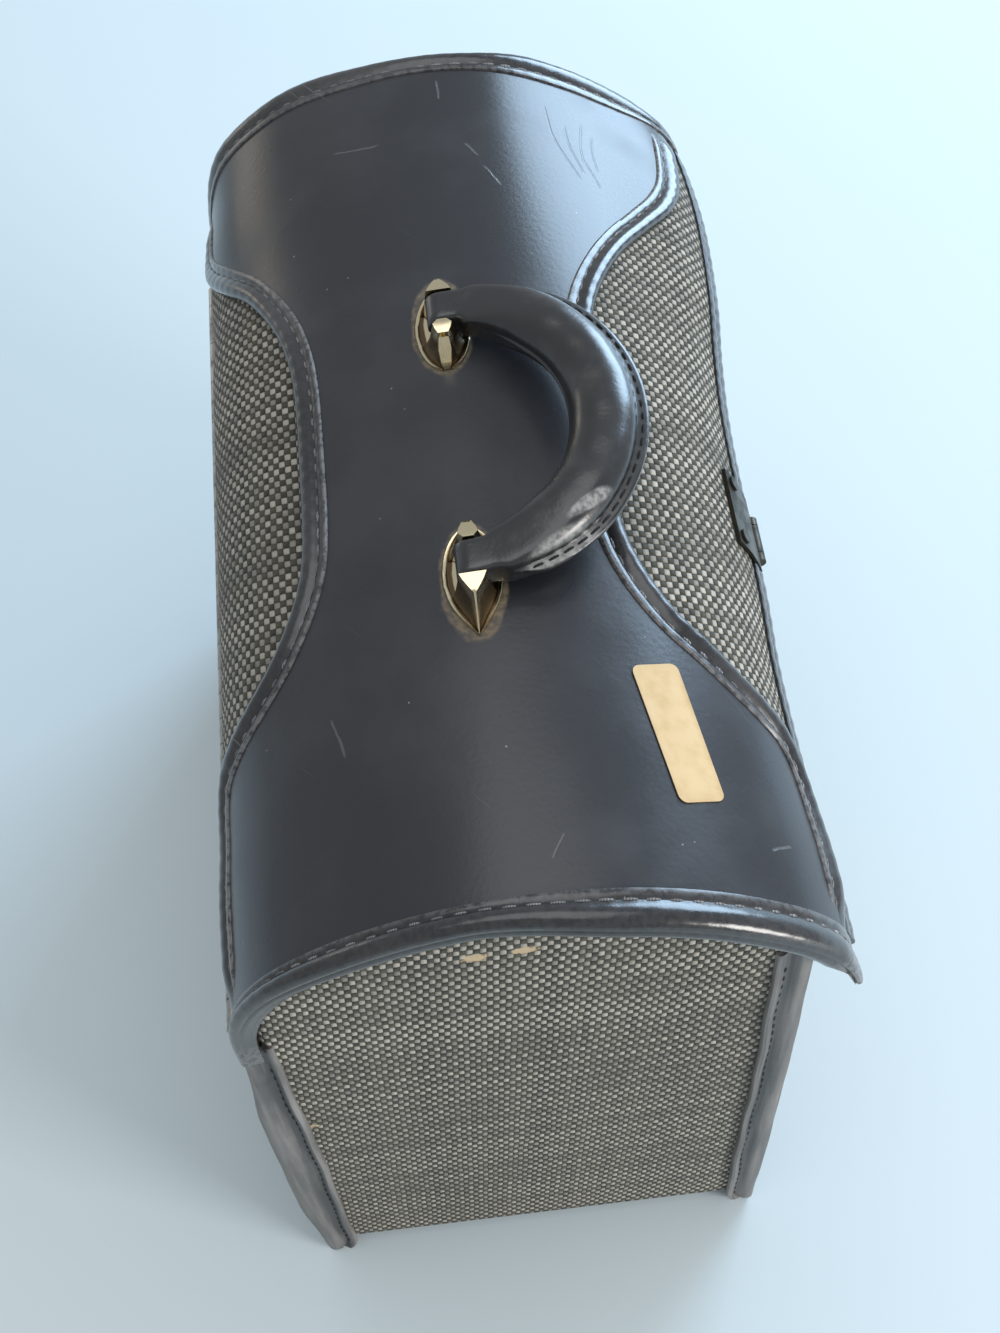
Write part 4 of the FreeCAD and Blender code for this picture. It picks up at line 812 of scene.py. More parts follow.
def make_worn_vinyl():
    """Leathercloth on the corners, scuffed to a dull warm grey, darker along the sewn hollow, and left black
    in streaks down the strip."""
    material, tree, shader, place = start_material("worn vinyl", {"Specular IOR Level": 0.35})
    vector = place.outputs["Object"]
    wear = add_node(tree, "ShaderNodeGroup", {"Vector": vector, "Grain": 800.0}, node_tree=wear_group)
    streak = cloud(tree, stretch(tree, vector, (260.0, 260.0, 14.0)), 1.0, 4.0)
    streaks = fade(tree, streak, 0.35, 0.65, 0.25, 0.8)
    scuffed = calc(tree, "MULTIPLY_ADD", wear.outputs["Smear"], 0.45, streaks)
    # Darker along the sewn hollow, by a share painted on each point of the strip.
    hollow = add_node(tree, "ShaderNodeAttribute", attribute_name="hollow")
    share = calc(tree, "MULTIPLY_ADD", hollow.outputs["Fac"], -0.5, scuffed)
    worn = blend_colours(tree, share, CORNER_DARK, CORNER_WORN)
    specks = calc(tree, "MULTIPLY", wear.outputs["Specks"], 0.5)
    colour = blend_colours(tree, specks, worn, DUST_GREY)
    height = calc(tree, "MULTIPLY_ADD", streak, 1.5, wear.outputs["Height"])
    set_surface(tree, shader, colour, fade(tree, share, 0.0, 1.0, 0.38, 0.62), height, 0.0001)
    return material


thread = make_thread("grey thread", THREAD_GREY, THREAD_GRIME_AND_SHADE)
sooty_thread = make_thread("sooty thread", THREAD_SOOTY, THREAD_BLACK)
vinyl_corner = make_worn_vinyl()
add_corner_binding("near_front_binding", 1, -1, FRONT_HEIGHT, 1.6, 0.0)
add_corner_binding("far_front_binding", 1, 1, FRONT_HEIGHT, 0.6, 0.0)
add_corner_binding("near_back_binding", -1, -1, BACK_HEIGHT, 6.0, HIDDEN_TOP)
add_corner_binding("far_back_binding", -1, 1, BACK_HEIGHT, 1.0, HIDDEN_TOP)
add_rim_binding()

# Hinge, nails and backing plates
# A long steel hinge with rolled knuckles is nailed to the rails along the back.
# Flat steel plates inside the case and the lid spread the pull of the rivets.

STEEL_BRIGHT = (0.46, 0.45, 0.43, 1.0)
STEEL_DULL = (0.22, 0.20, 0.18, 1.0)


def make_tarnish_group():
    """Old plated metal: dull clouds, darker pits, and fine rubbing scratches."""
    group, given, result = start_group(
        "tarnish", [("Vector", "Vector", None)], [("Dull", "Float"), ("Pits", "Float"), ("Height", "Float")])
    vector = given["Vector"]
    dull = fade(group, cloud(group, vector, 130.0, 5.0), 0.38, 0.72)
    group.links.new(dull, result["Dull"])
    pits = fade(group, cloud(group, vector, 900.0, 2.0), 0.68, 0.78)
    group.links.new(pits, result["Pits"])
    rub = cloud(group, stretch(group, vector, (2600.0, 260.0, 2600.0)), 1.0)
    group.links.new(calc(group, "MULTIPLY_ADD", pits, -0.8, rub), result["Height"])
    return group


tarnish_group = make_tarnish_group()


def make_metal(name, bright, dull, gloss):
    """Metal that goes from bright to dull with its tarnish."""
    material, tree, shader, place = start_material(name, {"Metallic": 1.0})
    old = add_node(tree, "ShaderNodeGroup", {"Vector": place.outputs["Object"]}, node_tree=tarnish_group)
    share = calc(tree, "MAXIMUM", calc(tree, "MULTIPLY", old.outputs["Dull"], 0.7), old.outputs["Pits"])
    colour = blend_colours(tree, share, bright, dull)
    rough = fade(tree, old.outputs["Dull"], 0.0, 1.0, gloss, gloss + 0.2)
    set_surface(tree, shader, colour, rough, old.outputs["Height"], 0.00003)
    return material


steel = make_metal("steel", STEEL_BRIGHT, STEEL_DULL, 0.3)
dress(steel, "hinge_body_leaf", "hinge_lid_leaf", "hinge_pin", "body_hinge_nails", "lid_hinge_nails")
dress(steel, "lock_backplate", "hasp_backplate", "handle_backplates", "handle_core", "lock_cam")

# Lock
# A drawn brass box is riveted to the front of the case, under the lip of the lid.
# A round key barrel stands beside its staple slot.

BRASS_BRIGHT = (0.80, 0.69, 0.47, 1.0)
BRASS_DULL = (0.36, 0.26, 0.12, 1.0)

brass = make_metal("brass", BRASS_BRIGHT, BRASS_DULL, 0.2)
dress(brass, "lock_case", "lock_rivets", "key_barrel")

# Lid shell
# A bent plywood board carries tweed outside and the same cotton as the case inside. Its lip has sprung out
# at both ends, and at the far end its front shoulder is pressed in a little and its back one stands full.

EDGE_START = 195.0
BINDING_WIDTH = 12.4
LID_BACK_ARC = -168.5
LID_FRONT_ARC = 134.64
LINING_BACK_ARC = -158.3
LID_BOARD_LIFTS = (-1.4, -4.4)
LID_LINING_LIFTS = (-4.6, -5.4)
LID_GRID = (140, 90)
BACK_SKEW = 0.35
FRONT_SKEW = 0.12
FRONT_STRETCH = (1.2, 1.08)
LIP_WAVE = np.array([
    (-209.0, 2.2), (-172.0, 1.6), (-135.0, -1.0), (-85.0, -2.0), (-45.0, -0.4), (5.0, -0.4), (40.0, 0.6),
    (72.0, 3.4), (105.0, 7.4), (150.0, 9.6), (190.0, 7.2), (209.0, 2.6),
])
LIP_WAVE_ARC = (72.0, 132.0)
BACK_WAVE = np.array([
    (-209.0, -1.4), (-180.0, -0.8), (-150.0, -0.2), (-110.0, -1.3), (0.0, -1.5), (110.0, -1.2), (150.0, 0.3),
    (180.0, -1.2), (209.0, -1.4),
])
BACK_WAVE_ARC = (85.0, 140.0)
PRESSED = 2.0
PRESSED_Y = (40.0, 205.0)
PRESSED_ARC = (20.0, 62.0, 90.0, 118.0)
OVERHANG = 2.2
OVERHANG_ARC = (88.0, 138.0, 148.0, 167.0)
OVERHANG_Y = (90.0, 140.0)
FULL = 3.4
FULL_Y = (100.0, 205.0)
FULL_ARC = (25.0, 72.0, 100.0, 138.0)


def smooth_curve(controls, count):
    """Even samples of a smooth curve through control points: each span is a cubic whose end slopes are half
    the step between the neighbouring points."""
    padded = np.concatenate([2 * controls[:1] - controls[1:2], controls, 2 * controls[-1:] - controls[-2:-1]])
    spot = np.linspace(0, len(controls) - 1, count)
    span = np.minimum(spot.astype(int), len(controls) - 2)
    t = (spot - span)[:, None]
    before, start, end, after = (padded[span + shift] for shift in range(4))
    cubic = -before + 3 * start - 3 * end + after
    square = 2 * before - 5 * start + 4 * end - after
    return start + 0.5 * t * ((end - before) + t * (square + t * cubic))


def wave_height(controls, along):
    """Height of a smooth wave through (place, height) control points."""
    curve = smooth_curve(controls, 600)
    return np.interp(along, curve[:, 0], curve[:, 1])


def lid_surface(across, along, lift):
    """Point on the lid: the arch's section at each place along the case, moved out or in by the waves of the
    lip and of the back, standing out a little over the hinge, pressed in at the far front shoulder, and full
    at the far back one."""
    across, along, lift = np.broadcast_arrays(across, along, lift)
    shape = wave_height(LIP_WAVE, along) * smooth_step(across, *LIP_WAVE_ARC)
    shape = shape + wave_height(BACK_WAVE, along) * smooth_step(-across, *BACK_WAVE_ARC)
    over = OVERHANG * hump(-across, *OVERHANG_ARC)
    shape = shape + over * (1 - smooth_step(np.abs(along), *OVERHANG_Y))
    press = PRESSED * hump(across, *PRESSED_ARC)
    fullness = FULL * hump(-across, *FULL_ARC)
    shape = shape - press * smooth_step(along, *PRESSED_Y) + fullness * smooth_step(along, *FULL_Y)
    x, z = arch_point(across, lift + shape)
    return np.stack([x, along, z], axis=-1)


def lid_normal(across):
    """Outward direction of the lid at an arc length from the crown."""
    x, z = arch_point(across, 0.0)
    out_x, out_z = arch_point(across, 1.0)
    return np.stack([out_x - x, np.zeros_like(x), out_z - z], axis=-1)


def near_squeeze(across):
    """How much of its full width the near binding keeps: less on the back half, and least at the hinge."""
    return 1 - 0.32 * smooth_step(-across, -30.0, 25.0) - 0.24 * smooth_step(-across, 55.0, 150.0)


def far_squeeze(across):
    """How much of its full width the far binding keeps: it is narrow over the crown and at the lip."""
    front = hump(across, 15.0, 50.0, 92.0, 110.0)
    return 0.8 + 0.22 * smooth_step(-across, 5.0, 60.0) + 0.28 * front


def lid_sheet(back, front, upper, lower):
    """Closed sheet over the length of the lid between two arc lengths and two lifts, with its corners cut off
    inside the end bindings, and its flat places."""
    across, share = np.meshgrid(np.linspace(back, front, LID_GRID[0]), np.linspace(0, 1, LID_GRID[1]))
    corner_cut = 11.0 * smooth_step(across, 117.0, 133.0) + 6.0 * smooth_step(-across, 148.0, 164.0)
    back_cut = 5.0 * smooth_step(-across, 30.0, 110.0)
    near = -EDGE_START - BINDING_WIDTH * near_squeeze(across) + corner_cut + back_cut
    far = EDGE_START + BINDING_WIDTH * far_squeeze(across)
    along = near + share * (far - near)
    front = across > 0
    flat_across = across * np.where(front, FRONT_STRETCH[0], 1.0)
    flat_along = along - np.where(front, FRONT_SKEW, BACK_SKEW) * np.abs(across)
    flat_along = flat_along * np.where(front, FRONT_STRETCH[1], 1.0)
    flat = np.stack([flat_across, flat_along], axis=-1).reshape(-1, 2)
    shell = closed_sheet(lid_surface(across, along, upper), lid_surface(across, along, lower))
    return shell, np.concatenate([flat, flat])


def add_lid_shell():
    """Board, tweed and lining: three sheets on the same surface, one under another."""
    shell = lid_sheet(LID_BACK_ARC, LID_FRONT_ARC, *LID_BOARD_LIFTS)[0]
    board = add_piece("lid_board_bent", shell, plywood, "lid")
    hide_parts("lid_board")
    shell, flat = lid_sheet(LID_BACK_ARC, LID_FRONT_ARC, 0.0, -TWEED)
    cloth = add_piece("lid_tweed_cloth", shell, tweed, "lid", flat)
    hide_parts("lid_tweed")
    shell, flat = lid_sheet(LINING_BACK_ARC, LID_FRONT_ARC, *LID_LINING_LIFTS)
    inside = add_piece("lid_lining_cloth", shell, lining, "lid", flat)
    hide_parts("lid_lining")


add_lid_shell()

# Saddle panel
# One large piece of smooth black leathercloth lies over the lid like a saddle, waisted beside the handle.
# It is glued to the tweed, and years of carrying have left smears, dust specks and scratches on it.

EDGE_BACK = np.array([
    (-137.0, -199.0), (-137.0, -170.0), (-137.0, -140.0), (-136.0, -118.0), (-128.5, -105.0), (-115.5, -97.5),
    (-100.0, -89.0), (-88.0, -79.5), (-78.0, -66.0), (-71.5, -50.0), (-69.3, -30.0), (-69.0, 0.0),
    (-69.4, 34.0), (-72.0, 56.0), (-78.5, 77.0), (-92.0, 102.0), (-108.0, 121.0), (-124.0, 140.0),
    (-133.5, 156.0), (-137.0, 174.0), (-137.0, 199.0),
])
EDGE_FRONT = np.array([
    (126.0, -199.0), (126.0, -176.0), (125.5, -154.0), (123.0, -134.0), (114.0, -120.0), (101.5, -112.5),
    (89.0, -105.0), (77.0, -96.0), (64.5, -85.0), (54.5, -68.0), (49.5, -48.0), (48.5, -14.0), (49.0, 20.0),
    (51.5, 44.0), (56.5, 64.0), (66.0, 84.0), (78.0, 102.0), (92.0, 119.0), (105.5, 137.0), (113.5, 158.0),
    (118.0, 199.0),
])
PANEL_UNDER = 7.0
PANEL_END = 197.0
PANEL_TOP = 1.2
PANEL_FOOT = 0.2
PANEL_ROWS = 260
PANEL_COLUMNS = 90
RING_PLACES = ((0.0, 46.35), (0.0, -74.35))
RING_HALF = (10.8, 22.85)
RING_FADE = (1.03, 1.15)
DUST_TAN = (0.21, 0.165, 0.11, 1.0)
PANEL_BLACK = (0.0300, 0.0322, 0.0385, 1.0)
PANEL_DUSTY = (0.074, 0.077, 0.086, 1.0)
SCRATCHES = (
    (-37.0, 157.5, -16.5, 154.5), (25.0, 135.0, 32.0, 123.0), (18.0, 149.0, 24.0, 141.0),
    (14.0, -184.0, 18.5, -174.5), (-54.0, -114.0, -49.5, -131.5), (10.5, 189.0, 10.7, 176.5),
    (88.0, -176.0, 95.0, -171.5),
)
CREASES = (
    (60.0, 184.0, 63.5, 165.0), (63.0, 169.0, 68.5, 142.0), (68.0, 177.0, 71.0, 147.0),
    (75.5, 182.0, 73.0, 154.0), (73.0, 159.0, 77.0, 142.0), (80.0, 176.0, 78.5, 152.0),
)
SCRATCH_EDGE = (0.0002, 0.0006)
SCRATCH_ENDS = (0.38, 0.52)


def even_curve(curve, step):
    """The same curve with its points spaced evenly along its length."""
    reach = path_reach(curve)
    spots = np.linspace(0, reach[-1], int(reach[-1] / step) + 1)
    return along_path(spots, reach, curve)


def side_steps(curve, side):
    """Direction square to a flat curve, on the panel's side of it."""
    slope = unit(np.gradient(curve, axis=0))
    return side * np.stack([slope[:, 1], -slope[:, 0]], axis=-1)


def scratch_mask(tree, across, along, ends):
    """Thin line between two places on the lid, seen from above, that fades at both ends."""
    start = np.array(ends[:2]) / 1000
    end = np.array(ends[2:]) / 1000
    length = float(np.linalg.norm(end - start))
    run_x, run_y = ((end - start) / length).tolist()
    middle_x, middle_y = ((start + end) / 2).tolist()
    x = calc(tree, "SUBTRACT", across, middle_x)
    y = calc(tree, "SUBTRACT", along, middle_y)
    run = calc(tree, "MULTIPLY_ADD", x, run_x, calc(tree, "MULTIPLY", y, run_y))
    off = calc(tree, "MULTIPLY_ADD", x, run_y, calc(tree, "MULTIPLY", y, -run_x))
    line = fade(tree, calc(tree, "ABSOLUTE", off), *SCRATCH_EDGE, 1.0, 0.0)
    whole, gone = (share * length for share in SCRATCH_ENDS)
    reach = fade(tree, calc(tree, "ABSOLUTE", run), whole, gone, 1.0, 0.0)
    return calc(tree, "MULTIPLY", line, reach)


def make_panel_vinyl():
    """Smooth black leathercloth with smears, specks, scratches and shallow creases, and a patchy ring of tan
    dust round each fitting that is gone about two millimetres out."""
    material, tree, shader, place = start_material("vinyl panel", {"Specular IOR Level": 0.55})
    vector = place.outputs["Object"]
    wear = add_node(tree, "ShaderNodeGroup", {"Vector": vector, "Grain": 500.0}, node_tree=wear_group)
    shake = add_node(tree, "ShaderNodeTexNoise", {"Vector": vector, "Scale": 110.0, "Detail": 2.0})
    shaken = vector_calc(tree, "MULTIPLY_ADD", shake.outputs["Color"], (0.003, 0.003, 0.003), vector)
    x, y = split(tree, vector_calc(tree, "SUBTRACT", shaken, (0.0015, 0.0015, 0.0015)))[:2]
    rings = [oval_mask(tree, x, y, centre, RING_HALF, *RING_FADE) for centre in RING_PLACES]
    patchy = fade(tree, cloud(tree, vector, 420.0, 3.0), 0.3, 0.7, 0.25, 1.0)
    ring = calc(tree, "MULTIPLY", strongest(tree, rings), patchy)
    scratch = strongest(tree, [scratch_mask(tree, x, y, ends) for ends in SCRATCHES])
    bend = add_node(tree, "ShaderNodeTexNoise", {"Vector": vector, "Scale": 24.0, "Detail": 0.0})
    bent = vector_calc(tree, "MULTIPLY_ADD", bend.outputs["Color"], (0.012, 0.012, 0.012), vector)
    bent_x, bent_y = split(tree, bent)[:2]
    crease = strongest(tree, [scratch_mask(tree, bent_x, bent_y, ends) for ends in CREASES])
    smear = calc(tree, "MULTIPLY", wear.outputs["Smear"], 0.30)
    cloudy = blend_colours(tree, smear, PANEL_BLACK, PANEL_DUSTY)
    dusty = blend_colours(tree, ring, cloudy, DUST_TAN)
    hairlines = calc(tree, "MULTIPLY", wear.outputs["Scratches"], 0.5)
    marks = strongest(tree, [wear.outputs["Specks"], hairlines, calc(tree, "MULTIPLY", scratch, 0.30)])
    colour = blend_colours(tree, calc(tree, "MULTIPLY", marks, 0.6), dusty, DUST_GREY)
    rough = calc(tree, "MULTIPLY_ADD", ring, 0.35, fade(tree, wear.outputs["Smear"], 0.0, 1.0, 0.27, 0.37))
    dent = calc(tree, "MAXIMUM", scratch, crease)
    height = calc(tree, "MULTIPLY_ADD", dent, -1.6, wear.outputs["Height"])
    set_surface(tree, shader, colour, rough, height, 0.00005)
    return material


def add_saddle_panel():
    """Sheet between the two edge curves, reaching under both bindings, over the same rows."""
    back = smooth_curve(EDGE_BACK, PANEL_ROWS)
    front = smooth_curve(EDGE_FRONT, PANEL_ROWS)
    back = back + PANEL_UNDER * side_steps(back, 1)
    front = front + PANEL_UNDER * side_steps(front, -1)
    share = np.linspace(0, 1, PANEL_COLUMNS)[None, :, None]
    flat = back[:, None, :] * (1 - share) + front[:, None, :] * share
    flat[..., 1] = np.clip(flat[..., 1], -PANEL_END, PANEL_END)
    upper = lid_surface(flat[..., 0], flat[..., 1], PANEL_TOP)
    lower = lid_surface(flat[..., 0], flat[..., 1], PANEL_FOOT)
    panel = add_piece("saddle_panel_vinyl", closed_sheet(upper, lower), vinyl_panel, "lid")
    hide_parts("saddle_panel")


vinyl_panel = make_panel_vinyl()
add_saddle_panel()

# Saddle bindings
# A folded strip of leathercloth follows each long edge of the saddle: a full roll on the tweed side,
# a sewn groove, and a flat tongue on the panel. The ends are pressed flat under the lid's edge bindings.

SADDLE_PROFILE = np.array([
    (0.2, 0.05), (-0.2, 1.2), (0.3, 2.5), (1.5, 3.5), (3.2, 3.8), (4.9, 3.4), (6.3, 2.5), (7.2, 1.75),
    (8.0, 2.1), (9.3, 2.35), (10.4, 2.2), (11.0, 1.5), (11.0, 1.0), (7.0, 0.9), (3.0, 0.1),
])
SADDLE_GROOVE = 7
SADDLE_SAMPLES = 700
SADDLE_STEP = 1.3
SADDLE_COVERED = 193.0
SADDLE_SEWN = 190.0


def add_saddle_binding(name, controls, side):
    """Profile carried along an edge curve in the flat, then bent onto the lid; each stitch draws it in."""
    curve = even_curve(smooth_curve(controls, SADDLE_SAMPLES), SADDLE_STEP)
    inward = side_steps(curve, side)
    reach = np.linspace(0, path_reach(curve)[-1], len(curve))
    pucker = 1 + 0.02 * np.cos(2 * np.pi * reach / STITCH_PITCH) + 0.05 * np.sin(reach / 23.0)
    pressed = 0.3 + 0.7 * smooth_step(SADDLE_COVERED - np.abs(curve[:, 1]), -2.0, 16.0)
    width, height = SADDLE_PROFILE.T
    flat = curve[:, None, :] + width[None, :, None] * inward[:, None, :]
    lift = np.where(height > 1.1, height * (pucker * pressed)[:, None], height)
    sections = lid_surface(flat[..., 0], flat[..., 1], lift)
    strip = add_piece(name + "_roll", closed_sweep(sections), vinyl_edge, "lid")
    # The tongue's inner edge is painted pale: partly wear, partly a painted highlight along the edge.
    tongue_edge = (width > 10.0) & (height > 1.2)
    paint(strip, "worn", np.broadcast_to(np.where(tongue_edge, 0.75, 0.06), lift.shape))
    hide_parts(name)
    shown = np.abs(curve[:, 1]) < SADDLE_SEWN
    normals = lid_normal(flat[shown, SADDLE_GROOVE, 0])
    row = stitch_row(sections[shown, SADDLE_GROOVE], normals)
    add_piece(name + "_stitches", row, thread, "lid")


add_saddle_binding("saddle_back_binding", EDGE_BACK, 1)
add_saddle_binding("saddle_front_binding", EDGE_FRONT, -1)

# Bindings on the ends of the lid
# A wide strip is rolled over each curved end of the lid, with its sewn tongue on the saddle,
# a full roll at the edge, a second thin roll below it, and a leg turned in over the lining.

END_PROFILE = np.array([
    (0.0, 1.2), (0.2, 1.9), (1.4, 2.15), (3.1, 2.05), (4.2, 1.6), (5.3, 2.1), (7.0, 2.8), (9.0, 3.05),
    (11.0, 2.8), (12.7, 1.9), (13.7, 0.4), (13.9, -0.9), (13.2, -1.8), (13.7, -2.6), (14.1, -3.8),
    (13.9, -5.0), (13.2, -6.2), (11.5, -7.0), (8.0, -7.1), (6.2, -6.9), (6.0, -5.5), (12.5, -5.5),
    (12.5, 0.1), (0.0, 0.1),
])
END_GROOVE = 4
BINDING_ROWS = 240
BINDING_SEWN = slice(4, -4)
TAIL_BACK_ARC = -167.0
TAIL_FRONT_ARC = 127.5
TAIL_POINT = 10.5
TAIL_FLAP = (114.0, 130.0)


def add_end_binding(name, side):
    """Profile carried over the arch and cut slanting at the front, to a point at the outer edge. The near one
    is drawn in at the hinge, and its front tail flattens to a flap."""
    share = np.linspace(0, 1, BINDING_ROWS)
    width, height = END_PROFILE.T
    front = TAIL_FRONT_ARC + TAIL_POINT * smooth_step(width, 2.0, 14.0)
    across = TAIL_BACK_ARC + share[:, None] * (front - TAIL_BACK_ARC)[None, :]
    pucker = 1 + 0.02 * np.cos(2 * np.pi * across / STITCH_PITCH) + 0.05 * np.sin(across / 27.0)
    thinned = 1 - 0.45 * smooth_step(-across, 118.0, 158.0)
    lift = np.where(height > 1.5, height * pucker * thinned, height)
    if side < 0:
        outer_face = (height < 0) & (width > 12.6)
        lift = np.where(outer_face, lift * (1 - 0.42 * smooth_step(-across, 40.0, 125.0)), lift)
    keep = near_squeeze(across) if side < 0 else far_squeeze(across)
    along = side * (EDGE_START + width * keep)
    flap_under = -5.7 + 0.42 * np.maximum(width - 5.0, 0)
    flap = np.where(height > 0.2, 0.45 * height, np.maximum(height, flap_under))
    flat_share = smooth_step(across, *TAIL_FLAP) if side < 0 else 0.0
    lift = lift + (flap - lift) * flat_share
    sections = lid_surface(across, along, lift)
    strip = add_piece(name + "_roll", closed_sweep(sections), vinyl_edge, "lid")
    # Pale at both tails from wear; the tongue's edge is a little pale too, partly wear and partly a painted
    # highlight.
    tails = smooth_step(across, 108.0, 128.0) + 0.6 * smooth_step(-across, 140.0, 160.0)
    paint(strip, "worn", np.maximum(0.7 * tails, np.where(width < 2.5, 0.3, 0.08)))
    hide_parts(name)
    normals = lid_normal(across[BINDING_SEWN, END_GROOVE])
    row = stitch_row(sections[BINDING_SEWN, END_GROOVE], normals)
    add_piece(name + "_stitches", row, thread, "lid")


add_end_binding("lid_near_binding", -1)
add_end_binding("lid_far_binding", 1)

# Binding on the lip
# A narrow strip of leathercloth is folded over the front edge of the lid and sewn.
# Its outer leg is cut away where the hasp plate sits.

LIP_PROFILE = np.array([
    (124.9, 0.05), (124.9, 1.0), (125.8, 1.45), (128.6, 1.5), (129.8, 1.1), (131.0, 1.6), (133.4, 1.9),
    (135.4, 1.3), (136.3, -0.4), (136.5, -2.7), (136.2, -5.0), (135.3, -6.5), (133.5, -7.0), (126.4, -6.9),
    (125.2, -6.2), (125.2, -5.45), (134.7, -5.45), (134.7, 0.03),
])
LIP_GROOVE = 4
LIP_STEP = 0.65
HASP_NOTCH = (-37.6, 0.6)
NOTCH_SLOPE = 0.6
NOTCH_UNSEWN = 2.0


def add_lip_binding():
    """Profile run along the lip; its outer leg thins to nothing between the two sides of the hasp plate."""
    along = np.arange(-EDGE_START, EDGE_START + 0.3, LIP_STEP)
    start, end = HASP_NOTCH
    inside = hump(along, start - NOTCH_SLOPE, start + NOTCH_SLOPE, end - NOTCH_SLOPE, end + NOTCH_SLOPE)
    keep = 1 - 0.97 * inside
    arc, height = LIP_PROFILE.T
    pucker = 1 + 0.06 * np.cos(2 * np.pi * along / STITCH_PITCH)
    lift = np.where(height > 0.5, height * (keep * pucker)[:, None], height)
    sections = lid_surface(arc, along[:, None], lift)
    strip = add_piece("lid_lip_roll", closed_sweep(sections), vinyl_edge, "lid")
    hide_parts("lid_lip_binding")
    rows = []
    for shown in (along < start - NOTCH_UNSEWN, along > end + NOTCH_UNSEWN):
        normals = lid_normal(np.full(shown.sum(), arc[LIP_GROOVE]))
        rows.append(stitch_row(sections[shown, LIP_GROOVE], normals))
    add_piece("lid_lip_stitches", join_shells(rows), thread, "lid")


add_lip_binding()

# Paper sticker
# A blank label of tan paper, a little yellowed, has rounded corners.
# It is stuck aslant on the near end of the saddle.

LABEL_CENTRE = (56.6, -136.2)
LABEL_HALF = (9.0, 26.6)
LABEL_CORNER = 3.0
LABEL_TURN = 0.178
LABEL_LIFT = 1.42
LABEL_THICKNESS = 0.25
LABEL_CURL = 0.25
LABEL_RINGS = 12
PAPER = (0.72, 0.53, 0.29, 1.0)
PAPER_AGED = (0.56, 0.37, 0.17, 1.0)


def make_paper():
    """Old paper: fibre flecks, a yellowed edge, and stains."""
    material, tree, shader, place = start_material("label paper", {"Specular IOR Level": 0.35})
    edge = add_node(tree, "ShaderNodeAttribute", attribute_name="rim")
    stain = cloud(tree, place.outputs["Object"], 150.0, 5.0)
    flecks = cloud(tree, place.outputs["Object"], 2200.0, 2.0)
    browned = fade(tree, edge.outputs["Fac"], 0.75, 1.0)
    aged = calc(tree, "MULTIPLY_ADD", browned, 0.35, fade(tree, stain, 0.4, 0.8, 0.0, 0.6))
    share = calc(tree, "MULTIPLY", aged, fade(tree, flecks, 0.2, 0.8, 0.7, 1.0))
    colour = blend_colours(tree, share, PAPER, PAPER_AGED)
    set_surface(tree, shader, colour, fade(tree, stain, 0.2, 0.8, 0.5, 0.65), flecks, 0.00005)
    return material


def add_label():
    """Rounded rectangle drawn as rings about its middle, laid on the panel, with its corners just lifting."""
    loop = rounded_loop(*LABEL_HALF, LABEL_CORNER)
    scale = np.linspace(0.05, 1.0, LABEL_RINGS)[:, None, None]
    plan = loop[None, :, :] * scale
    cos_turn = np.cos(LABEL_TURN)
    sin_turn = np.sin(LABEL_TURN)
    across = LABEL_CENTRE[0] + plan[..., 0] * cos_turn - plan[..., 1] * sin_turn
    along = LABEL_CENTRE[1] + plan[..., 0] * sin_turn + plan[..., 1] * cos_turn
    cornered = np.abs(plan[..., 0] * plan[..., 1] / (LABEL_HALF[0] * LABEL_HALF[1]))
    curl = LABEL_CURL * cornered ** 4
    upper = lid_surface(across, along, LABEL_LIFT + LABEL_THICKNESS + curl)
    lower = lid_surface(across, along, LABEL_LIFT + curl)
    sections = np.concatenate([lower, upper[::-1]])
    label = add_piece("paper_label_sticker", closed_sweep(sections), paper, "lid")
    rim = np.broadcast_to(scale[:, :, 0], plan.shape[:2])
    paint(label, "rim", np.concatenate([rim, rim[::-1]]))
    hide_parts("paper_label")


paper = make_paper()
add_label()

# Handle fittings
# Two cast brass leaves are riveted through the lid. Each has a rim bead, a pointed end away from the middle
# of the handle, a rounded end towards it, and two faceted ears that hold the handle's pin between them.

HANDLE_X = 0.0
HANDLE_Y = -14.0
POST_HALF_SPAN = 58.7
LEAF_HALF_WIDTH = 10.8
LEAF_POINT = 24.5
LEAF_ROUND = 21.2
EAR_ROWS = np.array([
    (24.2, 1.3, 0.1), (23.2, 2.2, 0.2), (20.5, 5.6, 0.25), (17.7, 9.4, 0.3), (15.0, 12.6, 0.4),
    (12.5, 13.3, 2.2), (10.0, 13.8, 3.7), (7.6, 14.2, 4.8), (7.6, 1.5, 6.0), (2.5, 1.5, 6.5),
    (-2.5, 1.5, 6.5), (-7.6, 1.5, 6.0), (-7.6, 14.2, 1.8), (-9.6, 14.2, 3.6), (-11.8, 13.9, 3.0),
    (-14.0, 13.6, 1.9), (-14.3, 10.8, 1.8), (-15.0, 10.8, 1.8), (-15.3, 12.4, 1.9), (-17.4, 8.2, 2.4),
    (-19.6, 3.4, 2.9), (-20.6, 1.5, 1.6),
])
BEAD_OUT = np.array([0.0, 0.0, 0.5, 1.3, 1.9])
BEAD_UP = np.array([-0.6, 0.8, 1.4, 1.35, 0.9])
LEAF_SUNK = 0.1
FACET_SHARES = np.array([0.75, 0.5, 0.25])
FACET_HOLLOW = 1.6
# Across each row: bright on the rim bead and the ear tops, as polishing and painted highlight; dark on the
# facets, as grime and painted dark reflection.
ROW_HIGHLIGHT_AND_POLISH = np.array([0.2, 0.8, 1.0, 0.9, 0.05, 0.0, 0.05, 0.2, 1.0, 1.0])
BRASS_GRIME_AND_DARK_REFLECTION = (0.15, 0.105, 0.06, 1.0)


